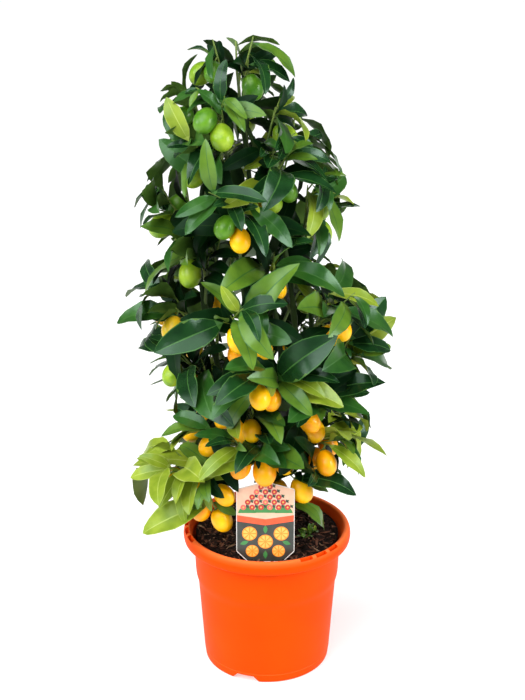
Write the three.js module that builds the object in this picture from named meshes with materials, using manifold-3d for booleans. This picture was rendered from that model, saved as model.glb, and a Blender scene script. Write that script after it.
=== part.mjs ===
// A kumquat bush trained as a pyramid in a round nursery pot.
// Millimetres, +Z up, the origin in the middle of the pot's underside, -Y to the front, where the tag stands.
// A short trunk forks into long upright stems. Leafy sprays grow from the stems in tiers: each spray is one
// solid of a shoot, its side twigs, their leaves and the fruit that hangs from them.
import * as THREE from "three";
import { mergeVertices } from "three/addons/utils/BufferGeometryUtils.js";
import Module from "manifold-3d";

const wasm = await Module();
wasm.setup();

// ---------------------------------------------------------------- driving dimensions
const clear = 0.3; // gap between neighbouring solids
const weld = 0.02; // faces smaller than this are taken out of a spray
const turn = 2 * Math.PI;
const goldenAngle = 137.5;

const pot = {
  height: 172,
  sides: 30,
  wall: 2.4,
  floor: 11,
  footRadius: 74.6,
  bandRadius: 75.8, // the wall just above the foot
  bandHeight: 11,
  stepRadius: 82.8, // the wall just under the collar
  stepHeight: 108,
  collarRadius: 85,
  collarTopRadius: 87.4,
  rimRadius: 100,
  rimBottom: 157,
  mouthRadius: 91.1,
};
const grip = { count: 3, firstAngle: 190, spread: 34, inner: 94, width: 3.8, ribs: 2, ribSpread: 3 };
const drain = {
  channels: 3, holes: 6, firstAngle: 250, halfWidth: 19, slope: 9, depth: 8, inner: 42,
  holeRadius: 4, holeAt: 56,
};
const soil = { level: 157, crown: 4 };
const tag = {
  width: 66, height: 98, shoulder: 9, chamfer: 13, thickness: 0.9,
  bottom: 163, front: -77, centre: -2, lean: 4, spikeWidth: 20, spikeLength: 32, viewDepth: 95,
  viewRise: 35, // the space kept clear before the tag rises by this much over its depth
};
const trunk = {
  height: 82, footRadius: 13, radius: 8.2, topRadius: 7, flareHeight: 16, lean: [3, -4], sides: 8, sink: 1,
};

const stem = {
  azimuths: [196, 256, 316, 16, 76, 136],
  forkHeights: [212, 229, 209, 227, 214, 231],
  baseRadius: 3.6, tipRadius: 2.5, sides: 6, steps: 9,
  bow: 52, // how far the stems lean out at half their height
  topRadius: 16, // how far from the axis the longest stems end
  longest: 650, // height of the longest stem's tip, to which the lean in is scaled
  lean: -34, leanFrom: 330, // all stems move along X from this height up
  wobble: 5,
};
// Each tier: the height of its sprays, where the crown's axis stands along X there, how far from the axis its
// leaves may reach, how many sprays it has, the azimuth of the first one, the length of its leaves, how far they
// droop and the fruit that a spray of it carries.
const tiers = [
  { height: 718, axis: -36, reach: 50, count: 3, first: 200, leaf: 58, droop: 0.5, fruit: 1 },
  { height: 666, axis: -35, reach: 92, count: 4, first: 255, leaf: 70, droop: 0.6, fruit: 2 },
  { height: 614, axis: -21, reach: 96, count: 4, first: 212, leaf: 84, droop: 0.8, fruit: 1 },
  { height: 562, axis: -22, reach: 128, count: 4, first: 262, leaf: 90, droop: 0.9, fruit: 2 },
  { height: 505, axis: -36, reach: 102, count: 4, first: 222, leaf: 92, droop: 1, fruit: 2 },
  { height: 452, axis: -14, reach: 150, count: 5, first: 192, leaf: 94, droop: 0.9, fruit: 2 },
  { height: 392, axis: -4, reach: 158, count: 5, first: 208, leaf: 96, droop: 0.9, fruit: 2 },
  { height: 344, axis: 0, reach: 126, count: 5, first: 240, leaf: 92, droop: 1, fruit: 2 },
  { height: 298, axis: 8, reach: 134, count: 5, first: 262, leaf: 92, droop: 0.9, fruit: 2 },
  { height: 252, axis: -36, reach: 148, count: 4, first: 200, leaf: 104, droop: 0.35, fruit: 1 },
];
const shoot = {
  drop: 58, // how far below its last whorl a shoot leaves the stem
  radius: 2.1, tipRadius: 1.2, sides: 3, sag: 5,
  lowestRoot: 254, rootStep: 14, tries: 7, shift: 8,
};
const twig = { perShoot: 2, from: 0.42, step: 0.24, length: 40, spread: 62, radius: 1.2, tipRadius: 0.9 };
const leaf = {
  onShoot: 6, onTwig: 2, // leaves along a shoot and along a side twig
  shootFrom: 0.45, // where on a shoot the leaves begin
  splay: [30, 92], // from the way out of the crown
  droop: [0.05, 0.6],
  widthShare: 0.38, thickness: 1.3, arch: 0.08, fold: 0.25,
  widest: 0.46, // along the leaf, where it is widest
  looseFrom: 0.16, // the part nearer the twig is left out when a leaf is tried for room
  tries: 16,
  rootDepth: 0.5, // how far past the middle of the twig the blade starts
};
const fruit = {
  length: 31, width: 24, stalk: 6, stalkRadius: 0.9, around: 6, along: 4, tries: 8,
  viewDepth: 70, viewRadius: 7, // the way out from a fruit that leaves keep clear
  spare: 1, spareFrom: 5, // more fruit for each front spray, for which room is kept: a finer model shows it
};
const crown = {
  top: 742,
  lowest: [168, 236], lowestFrom: -120, lowestTo: -10, // the lowest leaf tips, and where along X these hold
  slack: 12, // how far past the tiers' reach a leaf's tip may come
  heart: 0.68, // how much of a leaf's length stands out past the tip of its shoot
};

// ---------------------------------------------------------------- small tools
const vec = (x, y, z) => new THREE.Vector3(x, y, z);
const rad = THREE.MathUtils.degToRad;
const mix = THREE.MathUtils.lerp;
const up = vec(0, 0, 1);
const around = (radius, azimuth, z) => vec(radius * Math.cos(rad(azimuth)), radius * Math.sin(rad(azimuth)), z);

// A repeatable source of numbers from 0 to 1, the same for the same keys.
function seeded(...keys) {
  let state = keys.reduce((sum, key) => (sum * 31 + (key + 1) * 2654435761) >>> 0, 7);
  return () => {
    state = (state + 0x6d2b79f5) >>> 0;
    let t = Math.imul(state ^ (state >>> 15), state | 1);
    t ^= t + Math.imul(t ^ (t >>> 7), t | 61);
    return ((t ^ (t >>> 14)) >>> 0) / 4294967296;
  };
}

function solidOf(geometry) {
  const bare = geometry.index ? geometry.toNonIndexed() : geometry.clone();
  bare.deleteAttribute("normal");
  bare.deleteAttribute("uv");
  const merged = mergeVertices(bare, 1e-3);
  const triVerts = new Uint32Array(merged.index.array);
  const vertProperties = merged.attributes.position.array;
  const made = new wasm.Manifold(new wasm.Mesh({ numProp: 3, vertProperties, triVerts }));
  if (made.volume() > 0) return made;
  const turned = triVerts.slice().reverse(); // the faces pointed inwards
  return new wasm.Manifold(new wasm.Mesh({ numProp: 3, vertProperties, triVerts: turned }));
}

function geometryOf(solid) {
  const mesh = solid.getMesh();
  const geometry = new THREE.BufferGeometry();
  geometry.setAttribute("position", new THREE.BufferAttribute(new Float32Array(mesh.vertProperties), 3));
  geometry.setIndex(new THREE.BufferAttribute(new Uint32Array(mesh.triVerts), 1));
  geometry.computeVertexNormals();
  return geometry;
}

function solidFromFaces(points, faces) {
  const geometry = new THREE.BufferGeometry().setFromPoints(points);
  geometry.setIndex(faces.flat());
  return solidOf(geometry);
}

// A closed profile of [radius, height] pairs turned round the Z axis.
function revolve(profile, sides) {
  const lathe = new THREE.LatheGeometry(profile.map(([r, z]) => new THREE.Vector2(r, z)), sides);
  return solidOf(lathe.rotateX(Math.PI / 2).rotateZ(Math.PI / sides));
}

// An upright prism of a flat outline of [x, y] pairs, from height bottom to height top.
function prism(outline, bottom, top) {
  const shape = new THREE.Shape(outline.map(([x, y]) => new THREE.Vector2(x, y)));
  const extruded = new THREE.ExtrudeGeometry(shape, { depth: top - bottom, bevelEnabled: false });
  return solidOf(extruded.translate(0, 0, bottom));
}

// A limb of round-ish section along a path, with a radius for each point, closed by flat ends.
function limb(path, radii, sides) {
  const points = [];
  const faces = [];
  path.forEach((centre, i) => {
    const ahead = path[Math.min(i + 1, path.length - 1)];
    const behind = path[Math.max(i - 1, 0)];
    const along = ahead.clone().sub(behind).normalize();
    const across = vec(0, 1, 0).cross(along).normalize();
    const third = along.clone().cross(across);
    for (let k = 0; k < sides; k++) {
      const angle = (turn * k) / sides;
      points.push(centre.clone().addScaledVector(across, radii[i] * Math.cos(angle))
        .addScaledVector(third, radii[i] * Math.sin(angle)));
    }
  });
  for (let i = 0; i + 1 < path.length; i++)
    for (let k = 0; k < sides; k++) {
      const a = i * sides + k;
      const b = i * sides + ((k + 1) % sides);
      faces.push([a, b, b + sides], [a, b + sides, a + sides]);
    }
  const last = (path.length - 1) * sides;
  for (let k = 1; k + 1 < sides; k++) faces.push([0, k + 1, k], [last, last + k, last + k + 1]);
  return solidFromFaces(points, faces);
}

const taper = (count, from, to) => Array.from({ length: count }, (_, i) => mix(from, to, i / (count - 1)));

// ---------------------------------------------------------------- pot, soil and tag
function makePot() {
  const { wall, height, mouthRadius } = pot;
  const outer = [
    [0, 0], [pot.footRadius - 2, 0], [pot.footRadius, 2], [pot.bandRadius, pot.bandHeight],
    [pot.stepRadius, pot.stepHeight], [pot.collarRadius, pot.stepHeight + 3],
    [pot.collarTopRadius, pot.rimBottom], [pot.rimRadius - 1.5, pot.rimBottom],
    [pot.rimRadius, height - 7], [pot.rimRadius - 4, height], [mouthRadius, height - 0.6],
  ];
  const inner = [
    [pot.collarTopRadius - wall, pot.rimBottom - 8], [pot.collarRadius - wall, pot.stepHeight + 1],
    [pot.stepRadius - wall, pot.stepHeight - 2], [pot.bandRadius - wall, pot.floor], [0, pot.floor],
  ];
  let solid = revolve([...outer, ...inner], pot.sides);
  for (let g = 0; g < grip.count; g++) solid = solid.subtract(gripSlot(grip.firstAngle + (360 / grip.count) * g));
  for (let c = 0; c < drain.channels; c++)
    solid = solid.subtract(drainChannel(drain.firstAngle + (360 / drain.channels) * c));
  for (let h = 0; h < drain.holes; h++)
    solid = solid.subtract(drainHole(drain.firstAngle + (360 / drain.holes) * h));
  return solid;
}

// The slots of one hand grip: an arc through the rim, crossed by ribs that stay.
function gripSlot(middle) {
  const cells = grip.ribs + 1;
  const cell = (grip.spread - grip.ribs * grip.ribSpread) / cells;
  let slots = null;
  for (let c = 0; c < cells; c++) {
    const from = middle - grip.spread / 2 + c * (cell + grip.ribSpread);
    const steps = 2;
    const arc = (radius) => Array.from({ length: steps + 1 }, (_, i) => {
      const p = around(radius, from + (cell * i) / steps, 0);
      return [p.x, p.y];
    });
    const outline = [...arc(grip.inner + grip.width), ...arc(grip.inner).reverse()];
    const slot = prism(outline, pot.rimBottom - 3, pot.height + 3);
    slots = slots ? slots.add(slot) : slot;
  }
  return slots;
}

// A channel with sloping ends across the foot, open to the outside.
function drainChannel(angle) {
  const half = drain.halfWidth;
  const shape = new THREE.Shape([[-half, -1], [half, -1], [half - drain.slope, drain.depth],
    [drain.slope - half, drain.depth]].map(([x, y]) => new THREE.Vector2(x, y)));
  const length = pot.footRadius + 8 - drain.inner;
  const bar = new THREE.ExtrudeGeometry(shape, { depth: length, bevelEnabled: false });
  bar.translate(0, 0, drain.inner).rotateX(Math.PI / 2).rotateZ(rad(angle + 90));
  return solidOf(bar);
}

function drainHole(angle) {
  const hole = new THREE.CylinderGeometry(drain.holeRadius, drain.holeRadius, pot.floor * 2, 8);
  const place = around(drain.holeAt, angle, pot.floor / 2);
  return solidOf(hole.rotateX(Math.PI / 2).translate(place.x, place.y, place.z));
}

function tagOutline(grow) {
  const half = tag.width / 2;
  const spike = tag.spikeWidth / 2 + grow;
  return [
    [-half + tag.chamfer, 0], [-spike, 0], [-spike + 3, -tag.spikeLength + 6 - grow],
    [0, -tag.spikeLength - grow], [spike - 3, -tag.spikeLength + 6 - grow], [spike, 0],
    [half - tag.chamfer, 0], [half, tag.chamfer], [half, tag.height - tag.shoulder], [0, tag.height],
    [-half, tag.height - tag.shoulder], [-half, tag.chamfer],
  ];
}

function makeTag(grow = 0) {
  const shape = new THREE.Shape(tagOutline(grow).map(([x, y]) => new THREE.Vector2(x, y)));
  const depth = tag.thickness + 2 * grow;
  const plate = new THREE.ExtrudeGeometry(shape, { depth, bevelEnabled: false });
  plate.translate(0, 0, -depth / 2).rotateX(Math.PI / 2 - rad(tag.lean));
  return solidOf(plate.translate(tag.centre, tag.front, tag.bottom));
}

// The space before the tag, where no leaf hides it: it rises towards the front.
function inFrontOfTag() {
  const half = tag.width / 2;
  const back = tag.front - 2;
  const outline = [[-half, back - tag.viewDepth], [half, back - tag.viewDepth], [half, back], [-half, back]];
  const block = prism(outline, tag.bottom, tag.bottom + tag.height - 6).translate([tag.centre, 0, 0]);
  return block.warp((point) => { point[2] += ((back - point[1]) / tag.viewDepth) * tag.viewRise; });
}

function soilTop(radius) {
  const edge = pot.collarTopRadius - pot.wall;
  return soil.level + soil.crown * (1 - (radius / edge) ** 2);
}

function makeSoil() {
  const { wall } = pot;
  const edgeShare = (soil.level - pot.stepHeight) / (pot.rimBottom - 8 - pot.stepHeight);
  const edge = mix(pot.collarRadius - wall, pot.collarTopRadius - wall, Math.min(1, edgeShare)) - clear;
  const profile = [
    [0, pot.floor + clear], [pot.bandRadius - wall - clear, pot.floor + clear],
    [pot.stepRadius - wall - clear, pot.stepHeight - 2],
    [pot.collarRadius - wall - clear - 0.2, pot.stepHeight + 1], [edge, soil.level], [edge * 0.6, soilTop(edge * 0.6)], [0, soilTop(0)],
  ];
  return revolve(profile, pot.sides).subtract(makeTag(clear));
}

// ---------------------------------------------------------------- trunk and stems
const trunkFoot = soilTop(0) + clear;
const trunkAt = (t) => vec(trunk.lean[0] * t, trunk.lean[1] * t, mix(trunkFoot, trunkFoot + trunk.height, t));

function makeTrunk(grow = 0) {
  const steps = 6;
  const path = Array.from({ length: steps + 1 }, (_, i) => trunkAt((i / steps) ** 1.4));
  const radii = path.map((p) => {
    const flare = Math.exp(-(p.z - trunkFoot) / (trunk.flareHeight * 0.5));
    const share = (p.z - trunkFoot) / trunk.height;
    return mix(trunk.radius, trunk.topRadius, share) + (trunk.footRadius - trunk.radius) * flare + grow;
  });
  path[0].z -= 2 * trunk.sink;
  path[steps].z += grow;
  return limb(path, radii, trunk.sides).trimByPlane([0, 0, 1], trunkFoot - grow);
}

// A value of the tiers at a height, between two tiers' own.
function tierValue(key, z) {
  const i = tiers.findIndex((tier) => tier.height < z);
  if (i === 0) return tiers[0][key];
  if (i < 0) return tiers[tiers.length - 1][key];
  return mix(tiers[i][key], tiers[i - 1][key], (z - tiers[i].height) / (tiers[i - 1].height - tiers[i].height));
}

// The middle of the crown at a height, and the level way out from it through a point.
const axisAt = (z) => vec(tierValue("axis", z), 0, z);
const outwardAt = (point) => point.clone().sub(axisAt(point.z)).normalize();

// The free stem nearest to an azimuth.
function freeStem(azimuth, taken) {
  const gap = (other) => Math.abs(((azimuth - other + 540) % 360) - 180);
  const free = stem.azimuths.map((_, i) => i).filter((i) => !taken.includes(i));
  return free.sort((i, j) => gap(stem.azimuths[i]) - gap(stem.azimuths[j]))[0];
}

// Every spray with its place, its stem and the height at which it leaves that stem.
const sprays = tiers.flatMap((tier, t) => {
  const taken = [];
  return Array.from({ length: tier.count }, (_, s) => {
    const azimuth = (tier.first + (360 / tier.count) * s) % 360;
    taken.push(freeStem(azimuth, taken));
    return {
      name: `spray_${t + 1}_${"abcdef"[s]}`, key: t * 10 + s, tier, azimuth, stemIndex: taken[s],
      heart: axisAt(tier.height).add(around(tier.reach - crown.heart * tier.leaf, azimuth, 0)),
      rootHeight: Math.max(tier.height - shoot.drop, shoot.lowestRoot + shoot.rootStep * (tiers.length - 1 - t)),
    };
  });
});

const stems = stem.azimuths.map((azimuth, k) => {
  const rootHeight = stem.forkHeights[k];
  const tipHeight = Math.max(...sprays.filter((s) => s.stemIndex === k).map((s) => s.rootHeight));
  const random = seeded(900, k);
  const phase = turn * random();
  const start = trunkAt((rootHeight - trunkFoot) / trunk.height);
  const at = (z) => {
    const t = (z - rootHeight) / (stem.longest - rootHeight);
    const radius = stem.topRadius * t + stem.bow * Math.sin(Math.PI * Math.min(t, 1)) ** 0.75;
    const sway = stem.wobble * Math.sin(phase + t * 9) * Math.min(1, 4 * t);
    const place = around(radius, azimuth + sway, z);
    place.x += stem.lean * THREE.MathUtils.smoothstep(z, stem.leanFrom, stem.longest);
    return place.lerp(vec(start.x, start.y, z), Math.max(0, 1 - 6 * t));
  };
  const heights = Array.from({ length: stem.steps }, (_, i) => mix(rootHeight, tipHeight, i / (stem.steps - 1)));
  return { at, path: heights.map(at), rootHeight, tipHeight };
});

function makeStem({ path }, grow = 0) {
  const line = path.map((p) => p.clone());
  if (grow) {
    const last = line.length - 1;
    line[last].add(line[last].clone().sub(line[last - 1]).setLength(grow));
  }
  return limb(line, taper(line.length, stem.baseRadius + grow, stem.tipRadius + grow), stem.sides);
}

// ---------------------------------------------------------------- shoots, twigs, fruit and leaves
const fruitTilt = new THREE.Quaternion().setFromUnitVectors(vec(0, 1, 0), vec(0.2, 0.1, 1).normalize());

// What already stands in the crown, so that nothing new grows into it.
const standing = [];
const boxesMeet = (a, b) => a.min.every((low, i) => low <= b.max[i] && b.min[i] <= a.max[i]);
function stand(solid, owner) {
  standing.push({ solid, box: solid.boundingBox(), owner });
}
function touches(solid, exempt) {
  const box = solid.boundingBox();
  return standing.some((other) => !exempt.includes(other.owner) && boxesMeet(box, other.box) &&
    !solid.intersect(other.solid).isEmpty());
}

// The point at a share of a bent line, and the direction of the line there.
function onLine(path, share) {
  const place = share * (path.length - 1);
  const i = Math.min(Math.floor(place), path.length - 2);
  return {
    point: path[i].clone().lerp(path[i + 1], place - i),
    along: path[i + 1].clone().sub(path[i]).normalize(),
  };
}

// A spray's shoot, from inside its stem to its last whorl, moved round in steps until it has room.
function growShoot(spray) {
  const name = spray.name + "_shoot";
  for (let attempt = 0; attempt < shoot.tries; attempt++) {
    const root = stems[spray.stemIndex].at(spray.rootHeight);
    const moved = (attempt % 2 ? 1 : -1) * shoot.shift * Math.ceil(attempt / 2);
    const axis = axisAt(spray.heart.z);
    const tip = spray.heart.clone().sub(axis).applyAxisAngle(up, rad(moved)).add(axis);
    const path = [root, root.clone().lerp(tip, 0.5).addScaledVector(up, shoot.sag), tip];
    const solid = limb(path, taper(path.length, shoot.radius, shoot.tipRadius), shoot.sides);
    if (!touches(solid, [`stem_${spray.stemIndex + 1}`])) return { name, path, solid };
  }
  throw new Error(`no room for ${name}`);
}

function sideTwig(spray, parent, index) {
  const random = seeded(spray.key, 50 + index);
  const share = twig.from + twig.step * index;
  const { point: root, along } = onLine(parent.path, share);
  const side = index % 2 ? -1 : 1;
  const direction = along.clone().applyAxisAngle(up, side * rad(twig.spread + 16 * (random() - 0.5)));
  direction.addScaledVector(outwardAt(root), 0.35);
  direction.z += 0.25 * (random() - 0.4);
  direction.normalize();
  const tip = root.clone().addScaledVector(direction, twig.length * (0.85 + 0.35 * random()));
  return [root, tip];
}

// One fruit and its stalk, hanging down and outwards from a point of a twig. The ball is turned a little off
// the stalk's line, so that the stalk meets it in one face.
function makeFruit(root, direction, size) {
  const length = fruit.length * size;
  const ball = new THREE.SphereGeometry(0.5, fruit.around, fruit.along);
  ball.scale(fruit.width * size, length, fruit.width * size);
  ball.applyQuaternion(new THREE.Quaternion().setFromUnitVectors(up, direction).multiply(fruitTilt));
  const centre = root.clone().addScaledVector(direction, fruit.stalk + length / 2);
  ball.translate(centre.x, centre.y, centre.z);
  const end = root.clone().addScaledVector(direction, fruit.stalk + 4);
  const stalk = limb([root, end], [fruit.stalkRadius, fruit.stalkRadius], 3);
  const out = centre.clone().addScaledVector(outwardAt(centre), fruit.viewDepth);
  return { parts: [stalk, solidOf(ball)], view: limb([centre, out], [fruit.viewRadius, fruit.viewRadius], 4) };
}

// The parts of a spray's fruit at the first place with room, which it takes.
function hangFruit(spray, index) {
  for (let attempt = 0; attempt < fruit.tries; attempt++) {
    const random = seeded(spray.key, 200 + index, attempt);
    const host = spray.twigs[(index + attempt) % spray.twigs.length];
    const { point: root } = onLine(host.path, 0.55 + 0.35 * random());
    const direction = outwardAt(root).multiplyScalar(0.35 + 0.5 * random());
    direction.applyAxisAngle(up, rad(110 * (random() - 0.5)));
    direction.z = -0.9;
    direction.normalize();
    const made = makeFruit(root, direction, 0.86 + 0.26 * random());
    if (made.parts.some((one) => touches(one, [host.name, "fruit_view"]))) continue;
    made.parts.forEach((one) => stand(one, spray.name + "_fruit"));
    stand(made.view, "fruit_view");
    return made.parts;
  }
  return [];
}

// A leaf blade of eight faces: its base, its tip, its two edges and the top and bottom of its midrib.
function makeLeaf(place, from, thickness) {
  const { root, direction, normal, length } = place;
  const across = direction.clone().cross(normal);
  const half = (length * leaf.widthShare) / 2;
  const at = (s, side, lift) => root.clone().addScaledVector(direction, s * length)
    .addScaledVector(across, side * half)
    .addScaledVector(normal, 4 * leaf.arch * length * s * (1 - s) + Math.abs(side) * half * leaf.fold + lift);
  const rim = [at(from, 0, 0), at(leaf.widest, -1, 0), at(1, 0, 0), at(leaf.widest, 1, 0)];
  const midrib = [at(leaf.widest, 0, thickness / 2), at(leaf.widest, 0, -thickness / 2)];
  const faces = rim.flatMap((_, i) => {
    const next = (i + 1) % rim.length;
    return [[i, next, 4], [next, i, 5]];
  });
  return solidFromFaces([...rim, ...midrib], faces);
}

// Where a leaf leaves its twig and how it lies: turned round the way out by the golden angle from the leaf
// before it, splayed, drooping, and facing outwards and up.
function leafPlace(spray, host, share, index, attempt) {
  const random = seeded(spray.key, 300 + index, attempt);
  const { point: root } = onLine(host.path, share);
  const outward = outwardAt(root);
  const level = up.clone().cross(outward);
  const whorl = rad(goldenAngle * index + 60 * spray.key + 80 * attempt * (random() - 0.5));
  const splay = rad(mix(...leaf.splay, random()));
  const direction = level.multiplyScalar(Math.cos(whorl)).addScaledVector(up, Math.sin(whorl))
    .multiplyScalar(Math.sin(splay)).addScaledVector(outward, Math.cos(splay));
  direction.z -= mix(...leaf.droop, random()) * spray.tier.droop;
  direction.normalize();
  const facing = outward.multiplyScalar(0.75).addScaledVector(up, 0.7);
  const normal = facing.addScaledVector(direction, -facing.dot(direction)).normalize();
  normal.applyAxisAngle(direction, rad(50 * (random() - 0.5)));
  const length = spray.tier.leaf * (0.82 + 0.36 * random()) * (1 - 0.05 * attempt);
  root.addScaledVector(direction, -leaf.rootDepth);
  return { root, direction, normal, length };
}

function insideCrown(place) {
  const tip = place.root.clone().addScaledVector(place.direction, place.length);
  const lowest = mix(...crown.lowest, THREE.MathUtils.smoothstep(tip.x, crown.lowestFrom, crown.lowestTo));
  const reach = tierValue("reach", tip.z) + crown.slack;
  return tip.distanceTo(axisAt(tip.z)) < reach && tip.z > lowest && tip.z < crown.top;
}

function growLeaf(spray, host, share, index) {
  for (let attempt = 0; attempt < leaf.tries; attempt++) {
    const place = leafPlace(spray, host, share, index, attempt);
    if (!insideCrown(place)) continue;
    const blade = makeLeaf(place, 0, leaf.thickness);
    const roomy = makeLeaf(place, leaf.looseFrom, 2.4 * leaf.thickness);
    if (touches(blade, [host.name]) || touches(roomy, [])) continue;
    stand(roomy, spray.name);
    stand(blade, spray.name);
    return blade;
  }
  return null;
}

function layOutWood(spray) {
  const main = growShoot(spray);
  stand(main.solid, main.name);
  spray.twigs = [main];
  for (let i = 0; i < twig.perShoot; i++) {
    const one = { path: sideTwig(spray, main, i), name: `${spray.name}_twig_${i}` };
    one.solid = limb(one.path, [twig.radius, twig.tipRadius], shoot.sides);
    if (touches(one.solid, [main.name])) continue;
    stand(one.solid, one.name);
    spray.twigs.push(one);
  }
}

const atFront = (spray) => Math.sin(rad(spray.azimuth)) < 0.3;

function layOutFruit(spray) {
  const count = spray.tier.fruit - (atFront(spray) ? 0 : 1); // fewer at the back
  spray.fruit = Array.from({ length: count }, (_, i) => hangFruit(spray, i)).flat();
}

// Only the room of the spare fruit is taken here.
function keepFruitRoom(spray) {
  if (atFront(spray)) for (let i = 0; i < fruit.spare; i++) hangFruit(spray, fruit.spareFrom + i);
}

function growSpray(spray) {
  const [main, ...sides] = spray.twigs;
  const leaves = [];
  for (let i = 0; i < leaf.onShoot; i++) {
    const share = mix(leaf.shootFrom, 0.99, Math.sqrt((i + 0.5) / leaf.onShoot));
    leaves.push(growLeaf(spray, main, share, i));
  }
  sides.forEach((one, s) => {
    for (let i = 0; i < leaf.onTwig; i++)
      leaves.push(growLeaf(spray, one, mix(0.45, 0.98, (i + 0.5) / leaf.onTwig), 20 * (s + 1) + i));
  });
  const parts = [...spray.twigs.map((one) => one.solid), ...leaves.filter(Boolean), ...spray.fruit];
  const whole = wasm.Manifold.union(parts).subtract(makeStem(stems[spray.stemIndex], clear));
  return whole.decompose().reduce((best, one) => (one.volume() > best.volume() ? one : best)).simplify(weld);
}

// ---------------------------------------------------------------- the assembly
const finish = (color, roughness) => new THREE.MeshStandardMaterial({ color, roughness, metalness: 0 });
const finishes = {
  pot: finish(0xf4511c, 0.42), soil: finish(0x2a1b14, 0.95), tag: finish(0xe8e0d0, 0.35),
  bark: finish(0x5c5a3c, 0.85), stem: finish(0x3f5a2c, 0.6), leaf: finish(0x24512a, 0.4),
};
const bush = new THREE.Group();
function addPart(name, solid, material) {
  const mesh = new THREE.Mesh(geometryOf(solid), material);
  mesh.name = name;
  bush.add(mesh);
}

addPart("pot", makePot(), finishes.pot);
addPart("soil", makeSoil(), finishes.soil);
addPart("tag", makeTag(), finishes.tag);
addPart("trunk", makeTrunk(), finishes.bark);
stand(makeTag(clear), "tag");
stand(makeTrunk(clear), "trunk");
stand(inFrontOfTag(), "view");

stems.forEach((one, k) => {
  const solid = makeStem(one);
  addPart(`stem_${k + 1}`, solid.subtract(makeTrunk(clear)), finishes.stem);
  stand(makeStem(one, clear), `stem_${k + 1}`);
});
sprays.forEach(layOutWood);
sprays.forEach(layOutFruit);
sprays.forEach(keepFruitRoom);
for (const spray of sprays) addPart(spray.name, growSpray(spray), finishes.leaf);

export default bush;
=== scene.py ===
# Looks for the potted kumquat: smooth pot, rough soil, printed tag, barked trunk and stems,
# and a crown of twigs, leaves and fruit grown by the same rule as the solids.
import math
import bpy
import numpy as np
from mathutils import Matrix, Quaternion, Vector
from mathutils.bvhtree import BVHTree


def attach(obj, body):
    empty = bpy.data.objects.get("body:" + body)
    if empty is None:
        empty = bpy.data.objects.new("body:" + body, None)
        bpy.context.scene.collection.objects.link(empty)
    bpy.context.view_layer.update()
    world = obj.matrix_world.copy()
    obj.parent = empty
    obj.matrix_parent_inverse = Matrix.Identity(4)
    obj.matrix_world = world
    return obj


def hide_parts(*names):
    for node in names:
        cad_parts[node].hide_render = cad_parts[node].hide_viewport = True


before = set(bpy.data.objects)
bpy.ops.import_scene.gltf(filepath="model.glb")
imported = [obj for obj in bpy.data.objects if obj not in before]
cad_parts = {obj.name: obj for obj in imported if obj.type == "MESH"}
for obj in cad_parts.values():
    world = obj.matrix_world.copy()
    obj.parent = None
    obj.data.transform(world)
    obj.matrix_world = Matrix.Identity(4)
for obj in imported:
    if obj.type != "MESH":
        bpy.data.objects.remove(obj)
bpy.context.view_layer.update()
print("frame loaded:", len(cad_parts), "nodes")

mm = 0.001   # all shapes below are worked out in millimetres
turn = 2 * math.pi
clear = 0.3  # gap between neighbouring solids
up = Vector((0, 0, 1))
scene = bpy.context.scene


def addObject(name, data):
    thing = bpy.data.objects.new(name, data)
    scene.collection.objects.link(thing)
    return thing


def setInputs(node, values):
    for name, value in values.items():
        node.inputs[name].default_value = value


def addNode(tree, kind, values=None):
    node = tree.nodes.new("ShaderNode" + kind)
    setInputs(node, values or {})
    return node


def wire(source, output, target, entry):
    source.id_data.links.new(source.outputs[output], target.inputs[entry])


# camera and light
view = {"place": (-5.3, -1497.0, 940.0), "pitchDown": 20.09, "lens": 72.0, "sensor": 36}
lampAim = Vector((0, 0, 0.4))
lamps = {  # place and size in metres, power in watts
    "keyLight": {"place": (-1.5, -1.9, 2.0), "size": 2.0, "power": 30.0},
    "leftPanel": {"place": (-2.1, -0.5, 1.3), "size": 1.2, "power": 24.0},
    "rightPanel": {"place": (1.9, -0.9, 1.2), "size": 1.2, "power": 42.0},
    "backPanel": {"place": (0.2, 2.2, 1.5), "size": 1.4, "power": 10.0},
}
sun = {"tilt": 32, "azimuth": 238, "spread": 64, "strength": 2.9}  # a broad soft light over all, in degrees
sky = {"color": (1.0, 1.0, 1.0), "strength": 0.12, "behind": 1.0}  # behind: how bright it is as a backdrop

scene.view_settings.view_transform = "Standard"
camera = addObject("camera", bpy.data.cameras.new("camera"))
camera.location = Vector(view["place"]) * mm
camera.rotation_euler = (math.radians(90 - view["pitchDown"]), 0, 0)
camera.data.lens = view["lens"]
camera.data.sensor_width = view["sensor"]
camera.data.clip_end = 50
scene.camera = camera

for name, lamp in lamps.items():
    light = addObject(name, bpy.data.lights.new(name, "AREA"))
    light.data.energy = lamp["power"]
    light.data.shape = "DISK"
    light.data.size = lamp["size"]
    light.location = lamp["place"]
    light.rotation_euler = (lampAim - Vector(lamp["place"])).to_track_quat("-Z", "Y").to_euler()
    light.visible_camera = False

light = addObject("broadLight", bpy.data.lights.new("broadLight", "SUN"))
light.data.energy = sun["strength"]
light.data.angle = math.radians(sun["spread"])
light.rotation_euler = (math.radians(sun["tilt"]), 0, math.radians(sun["azimuth"] + 90))

world = bpy.data.worlds.new("studio")
world.use_nodes = True
backdrop = world.node_tree.nodes["Background"]
setInputs(backdrop, {"Color": (*sky["color"], 1)})
ray = addNode(world.node_tree, "LightPath")
level = addNode(world.node_tree, "MapRange", {"To Min": sky["strength"], "To Max": sky["behind"]})
wire(ray, "Is Camera Ray", level, "Value")
wire(level, "Result", backdrop, "Strength")
scene.world = world
print("camera and", len(lamps) + 1, "lights placed")


# materials
def linear(red, green, blue):
    # a colour of 0 to 255 in the screen's own scale, made linear for the shader
    parts = np.array([red, green, blue]) / 255
    parts = np.where(parts < 0.04045, parts / 12.92, ((parts + 0.055) / 1.055) ** 2.4)
    return (*parts.tolist(), 1)


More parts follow.
